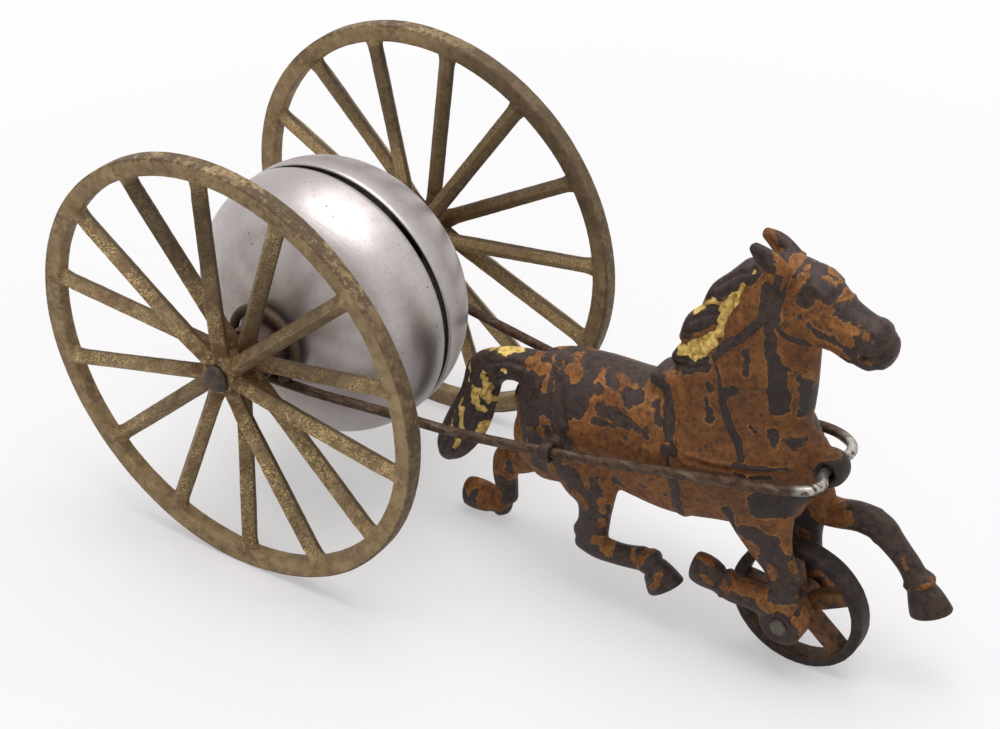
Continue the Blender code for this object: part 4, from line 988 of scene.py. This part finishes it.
CREAM = [
    # mane
    (0.45, 105.4, 89.4, 104.4, 86.8), (1.15, 103.8, 86, 102.4, 83.8, 101.4, 81.2),
    (1, 101.3, 81, 101.2, 78.2, 99.8, 75.6), (1.6, 99.8, 75.6, 97.4, 72.9, 94.4, 70.3),
    (0.9, 94.4, 70.2, 90.8, 68.4), (0.4, 101, 83.6, 98.4, 83.2, 96.4, 81.2, 93.6, 78.4),
    (0.3, 107, 92.6, 107.2, 92.5),
    # tail
    (0.5, 41, 50.6, 44.4, 52.2, 47.8, 52.6, 52.6, 54.4), (0.95, 44.1, 46.8, 44.1, 42.4),
    (1.05, 41, 41.8, 42.8, 41.2), (0.8, 43.4, 41.2, 44.2, 38.8),
    (0.85, 40.9, 40.6, 41.2, 37.8, 42.6, 36), (0.4, 37.4, 37.8, 36.4, 35.2),
    (0.75, 37.1, 34.8, 36.9, 29.2), (0.28, 34.4, 33, 34.2, 29), (0.75, 42, 31.8, 40.8, 28.8),
    (0.45, 36, 26.6, 35.2, 24.2, 34, 22.8), (0.25, 39.2, 47.4, 39.5, 43.4),
    (0.3, 48.6, 49.8, 49.4, 50.4, 50, 49.6),
]


def horse_forms(name, side, legs, hooves):
    """All of a half's forms run together into one skin."""
    forms = [loft(s, side) for s in [TRUNK, NECK, HEAD, TAIL] + MANE + legs]
    forms += [loft(s, side, blunt=0.12) for s in hooves]
    forms += [
        loft(SADDLE, side, blunt=0.1, boxy=0.5),
        ring_eye(CHEST_EYE, (0.0, 1.0, 0.0), 2.75, 1.2, 2.4),
        ring_eye((LUG[0], side * 14.2, 41.6), (1.0, 0.0, 0.0), 1.85, 0.7, 2.0),
        flank_rod(LUG, 7.0, 12.6, 2.0, side),
        flank_rod(POST, 4.35, 9.45, 4.9, side),
    ]
    rough = solid(name + "_forms", *joined(forms))
    skin = rough.modifiers.new("skin", "REMESH")
    skin.mode = "VOXEL"
    skin.voxel_size = VOXEL * MM
    soften = rough.modifiers.new("soften", "SMOOTH")
    soften.factor = 0.5
    soften.iterations = 3
    mesh = evaluated(rough)
    bpy.data.objects.remove(rough, do_unlink=True)
    mesh.name = name
    return mesh


def cut_at_seam(mesh, side):
    """Keep what lies on this side of the middle plane, and close it there."""
    bm = bmesh.new()
    bm.from_mesh(mesh)
    cut = bmesh.ops.bisect_plane(
        bm, geom=bm.verts[:] + bm.edges[:] + bm.faces[:], dist=1e-7,
        plane_co=(0.0, side * SEAM * MM, 0.0), plane_no=(0.0, side, 0.0), clear_inner=True,
    )
    rim = [e for e in cut["geom_cut"] if isinstance(e, bmesh.types.BMEdge)]
    bmesh.ops.triangle_fill(bm, edges=rim, use_beauty=True, use_dissolve=False)
    bmesh.ops.recalc_face_normals(bm, faces=bm.faces)
    bm.to_mesh(mesh)
    bm.free()


def stroke_reach(xz, line):
    """Distance in mm from each point of the side view to a line through x, z, x, z, ..."""
    points = np.array(line, dtype=float).reshape(-1, 2)
    best = np.full(len(xz), 1e9)
    for a, b in zip(points, points[1:]):
        run = b - a
        t = np.clip(((xz - a) @ run) / max(run @ run, 1e-9), 0.0, 1.0)
        best = np.minimum(best, np.linalg.norm(xz - a - t[:, None] * run, axis=1))
    return best


def swell(reach, half):
    """1 on a stroke's line, 0 from half a width away, smooth between."""
    t = np.clip(1.0 - reach / half, 0.0, 1.0)
    return t * t * (3 - 2 * t)


def relief(xz, side):
    """Height in mm that the strokes add at each point of the side view."""
    height = np.zeros(len(xz))
    for half, rise, *line in STRAPS + CARVING + [EARS[side]]:
        height += rise * swell(stroke_reach(xz, line), half)
    for line in LOCKS:
        height -= 0.5 * swell(stroke_reach(xz, line), 0.7)
    ring = np.abs(stroke_reach(xz, POST + POST) - 2.9)
    return height - 0.4 * swell(ring, 0.5)


def horse_half(name, side, legs, hooves):
    """One half of the horse, closed on the seam, its relief carved and its paint marked."""
    mesh = horse_forms(name, side, legs, hooves)
    cut_at_seam(mesh, side)
    at = rows_of(mesh.vertices, "co")
    normals = rows_of(mesh.vertex_normals, "vector")
    xz = at[:, [0, 2]] / MM - np.array([AXLE.x, 0.0])
    out_y = np.abs(at[:, 1]) / MM
    height = relief(xz, side) * np.clip((out_y - 0.3) / 0.6, 0.0, 1.0)
    at += normals * (height * MM)[:, None]
    at[:, 1] = np.where(out_y < SEAM + 0.02, side * SEAM * MM, at[:, 1])
    mesh.vertices.foreach_set("co", at.reshape(-1))
    mark_paint(mesh, xz, side)
    mesh.update()
    flat = [abs(p.normal.y) > 0.999 and abs(p.center.y) < 0.2 * MM for p in mesh.polygons]
    mesh.polygons.foreach_set("use_smooth", ~np.array(flat))
    return placed(name, mesh)


def mark_paint(mesh, xz, side):
    """Store how far, in mm, each point lies inside the dark and the cream paint."""
    near = side < 0
    # Away from all strokes the far side lies nearer to dark, so its grain flakes off more
    dark = np.full(len(xz), -2.6 if near else -0.9)
    cream = np.full(len(xz), -4.0)
    for half, *line in DARK + ([] if near else DARK_FAR):
        dark = np.maximum(dark, half - stroke_reach(xz, line))
    for half, *line in DARK_STRAPS:  # three times as crisp at the edge
        dark = np.maximum(dark, 3.0 * (half - stroke_reach(xz, line)))
    for half, *line in ORANGE + ([] if near else ORANGE_FAR):
        dark = np.minimum(dark, stroke_reach(xz, line) - half)
    for half, *line in CREAM:
        cream = np.maximum(cream, half - stroke_reach(xz, line))
    store(mesh, "dark_mm", dark)
    store(mesh, "cream_mm", cream)


# The toy

SIDES = {"right": -1, "left": 1}
for hand, turn, seed in (("right", 0.56, 1.0), ("left", 0.14, 2.0)):
    dress(road_wheel("road_wheel_casting_" + hand, SIDES[hand], turn, seed), "wheel_paint",
          "wheels", "road_wheel_" + hand)
for hand, side in SIDES.items():
    dress(gong("gong_" + hand, side), "gong_plate", "wheels", "bell_" + hand)
for hand, side in SIDES.items():
    dress(sleeve("sleeve_turned_" + hand, side), "dark_steel", "wheels", "sleeve_" + hand)
dress(hammered_pin("main_axle_peened", AXLE, 40.3, 2.4, 3.3, 1.8, seed=3), "dark_steel",
      "wheels", "main_axle")
dress(shaft_wire(), "wire_steel", "horse", "shaft_wire")
dress(front_wheel(), "front_wheel_iron", "front_wheel_body", "front_wheel")
dress(hammered_pin("front_axle_peened", FRONT, 9.5, 1.7, 2.0, 1.4, seed=5), "dark_steel",
      "horse", "front_axle")
for hand, legs, hooves in (("right", RIGHT_LEGS, RIGHT_HOOVES), ("left", LEFT_LEGS, LEFT_HOOVES)):
    dress(horse_half("horse_casting_" + hand, SIDES[hand], legs, hooves), "horse_paint",
          "horse", "horse_%s_half" % hand)
for slot, nodes in (
    ("dark_iron", ("striker_carrier", "striker_a", "striker_b", "striker_c")),
    ("dark_steel", ("striker_pin_a", "striker_pin_b", "striker_pin_c")),
    ("painted_rivet", ("body_rivet", "tail_rivet")),
):
    for node in nodes:
        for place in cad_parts[node].material_slots:
            place.material = FINISH[slot]


# Stage

def plain_floor():
    """A pale table that shows nearly white to the camera and keeps the toy's shadow."""
    made = bpy.data.materials.new("pale_table")
    start = emptied(made)
    dim = seen_directly(start).blend((0.6, 0.595, 0.59), (0.86, 0.85, 0.855))
    matt = start.node("ShaderNodeBsdfDiffuse", {"Color": dim})
    white = start.node("ShaderNodeEmission", {"Color": (1.0, 0.99, 0.995, 1.0), "Strength": 1.0})
    far = start.node("ShaderNodeTexCoord", out="Object").reach((0.0, 0.0, 0.0), 1.0)
    share = seen_directly(start) * (0.38 + far.step(110.0, 330.0) * 0.62)
    both = start.node("ShaderNodeMixShader", {0: share, 1: matt, 2: white})
    start.node("ShaderNodeOutputMaterial", {"Surface": both})
    floor = solid("table_top", [(-3, -3, 0), (3, -3, 0), (3, 3, 0), (-3, 3, 0)], [(0, 1, 2, 3)])
    floor.data.materials.append(made)


def seen_directly(start):
    """1 for what the camera sees, also in a reflection."""
    rays = start.node("ShaderNodeLightPath")
    return rays.most(rays.output("Is Glossy Ray")).most(rays.output("Is Transmission Ray"))


def daylight():
    """Even pale light from all round; the camera sees plain white."""
    world = bpy.data.worlds.new("studio")
    bpy.context.scene.world = world
    start = emptied(world)
    sky, white = (
        start.node("ShaderNodeBackground", {"Color": (*colour, 1.0), "Strength": strength})
        for colour, strength in (((1.0, 0.99, 0.985), 0.54), ((1.0, 1.0, 1.0), 1.0))
    )
    both = start.node("ShaderNodeMixShader", {0: seen_directly(start), 1: sky, 2: white})
    start.node("ShaderNodeOutputWorld", {"Surface": both})


def lamp(name, place, width, depth, power):
    """A soft oval lamp that faces straight down."""
    data = bpy.data.lights.new(name, "AREA")
    data.shape = "ELLIPSE"
    data.size = width
    data.size_y = depth
    data.energy = power
    placed(name, data).location = place


def camera():
    """The camera that was solved from both road wheels."""
    turn, tilt, roll = (math.radians(degrees) for degrees in (35.268, 33.717, -1.772))
    data = bpy.data.cameras.new("photo_view")
    data.sensor_width = 36.0
    data.lens = 75.12
    data.clip_start = 0.01
    obj = placed("photo_view", data)
    obj.matrix_world = (
        Matrix.Translation((0.21306, -0.30691, 0.29868)) @ Matrix.Rotation(turn, 4, "Z")
        @ Matrix.Rotation(math.pi / 2 - tilt, 4, "X") @ Matrix.Rotation(roll, 4, "Z")
    )
    bpy.context.scene.camera = obj


plain_floor()
daylight()
lamp("overhead", (-0.02, 0.2, 0.78), 0.8, 0.8, 2.2)
lamp("softbox", (0.06, -0.07, 0.76), 0.75, 0.36, 2.3)
camera()
bpy.context.scene.view_settings.view_transform = "Standard"
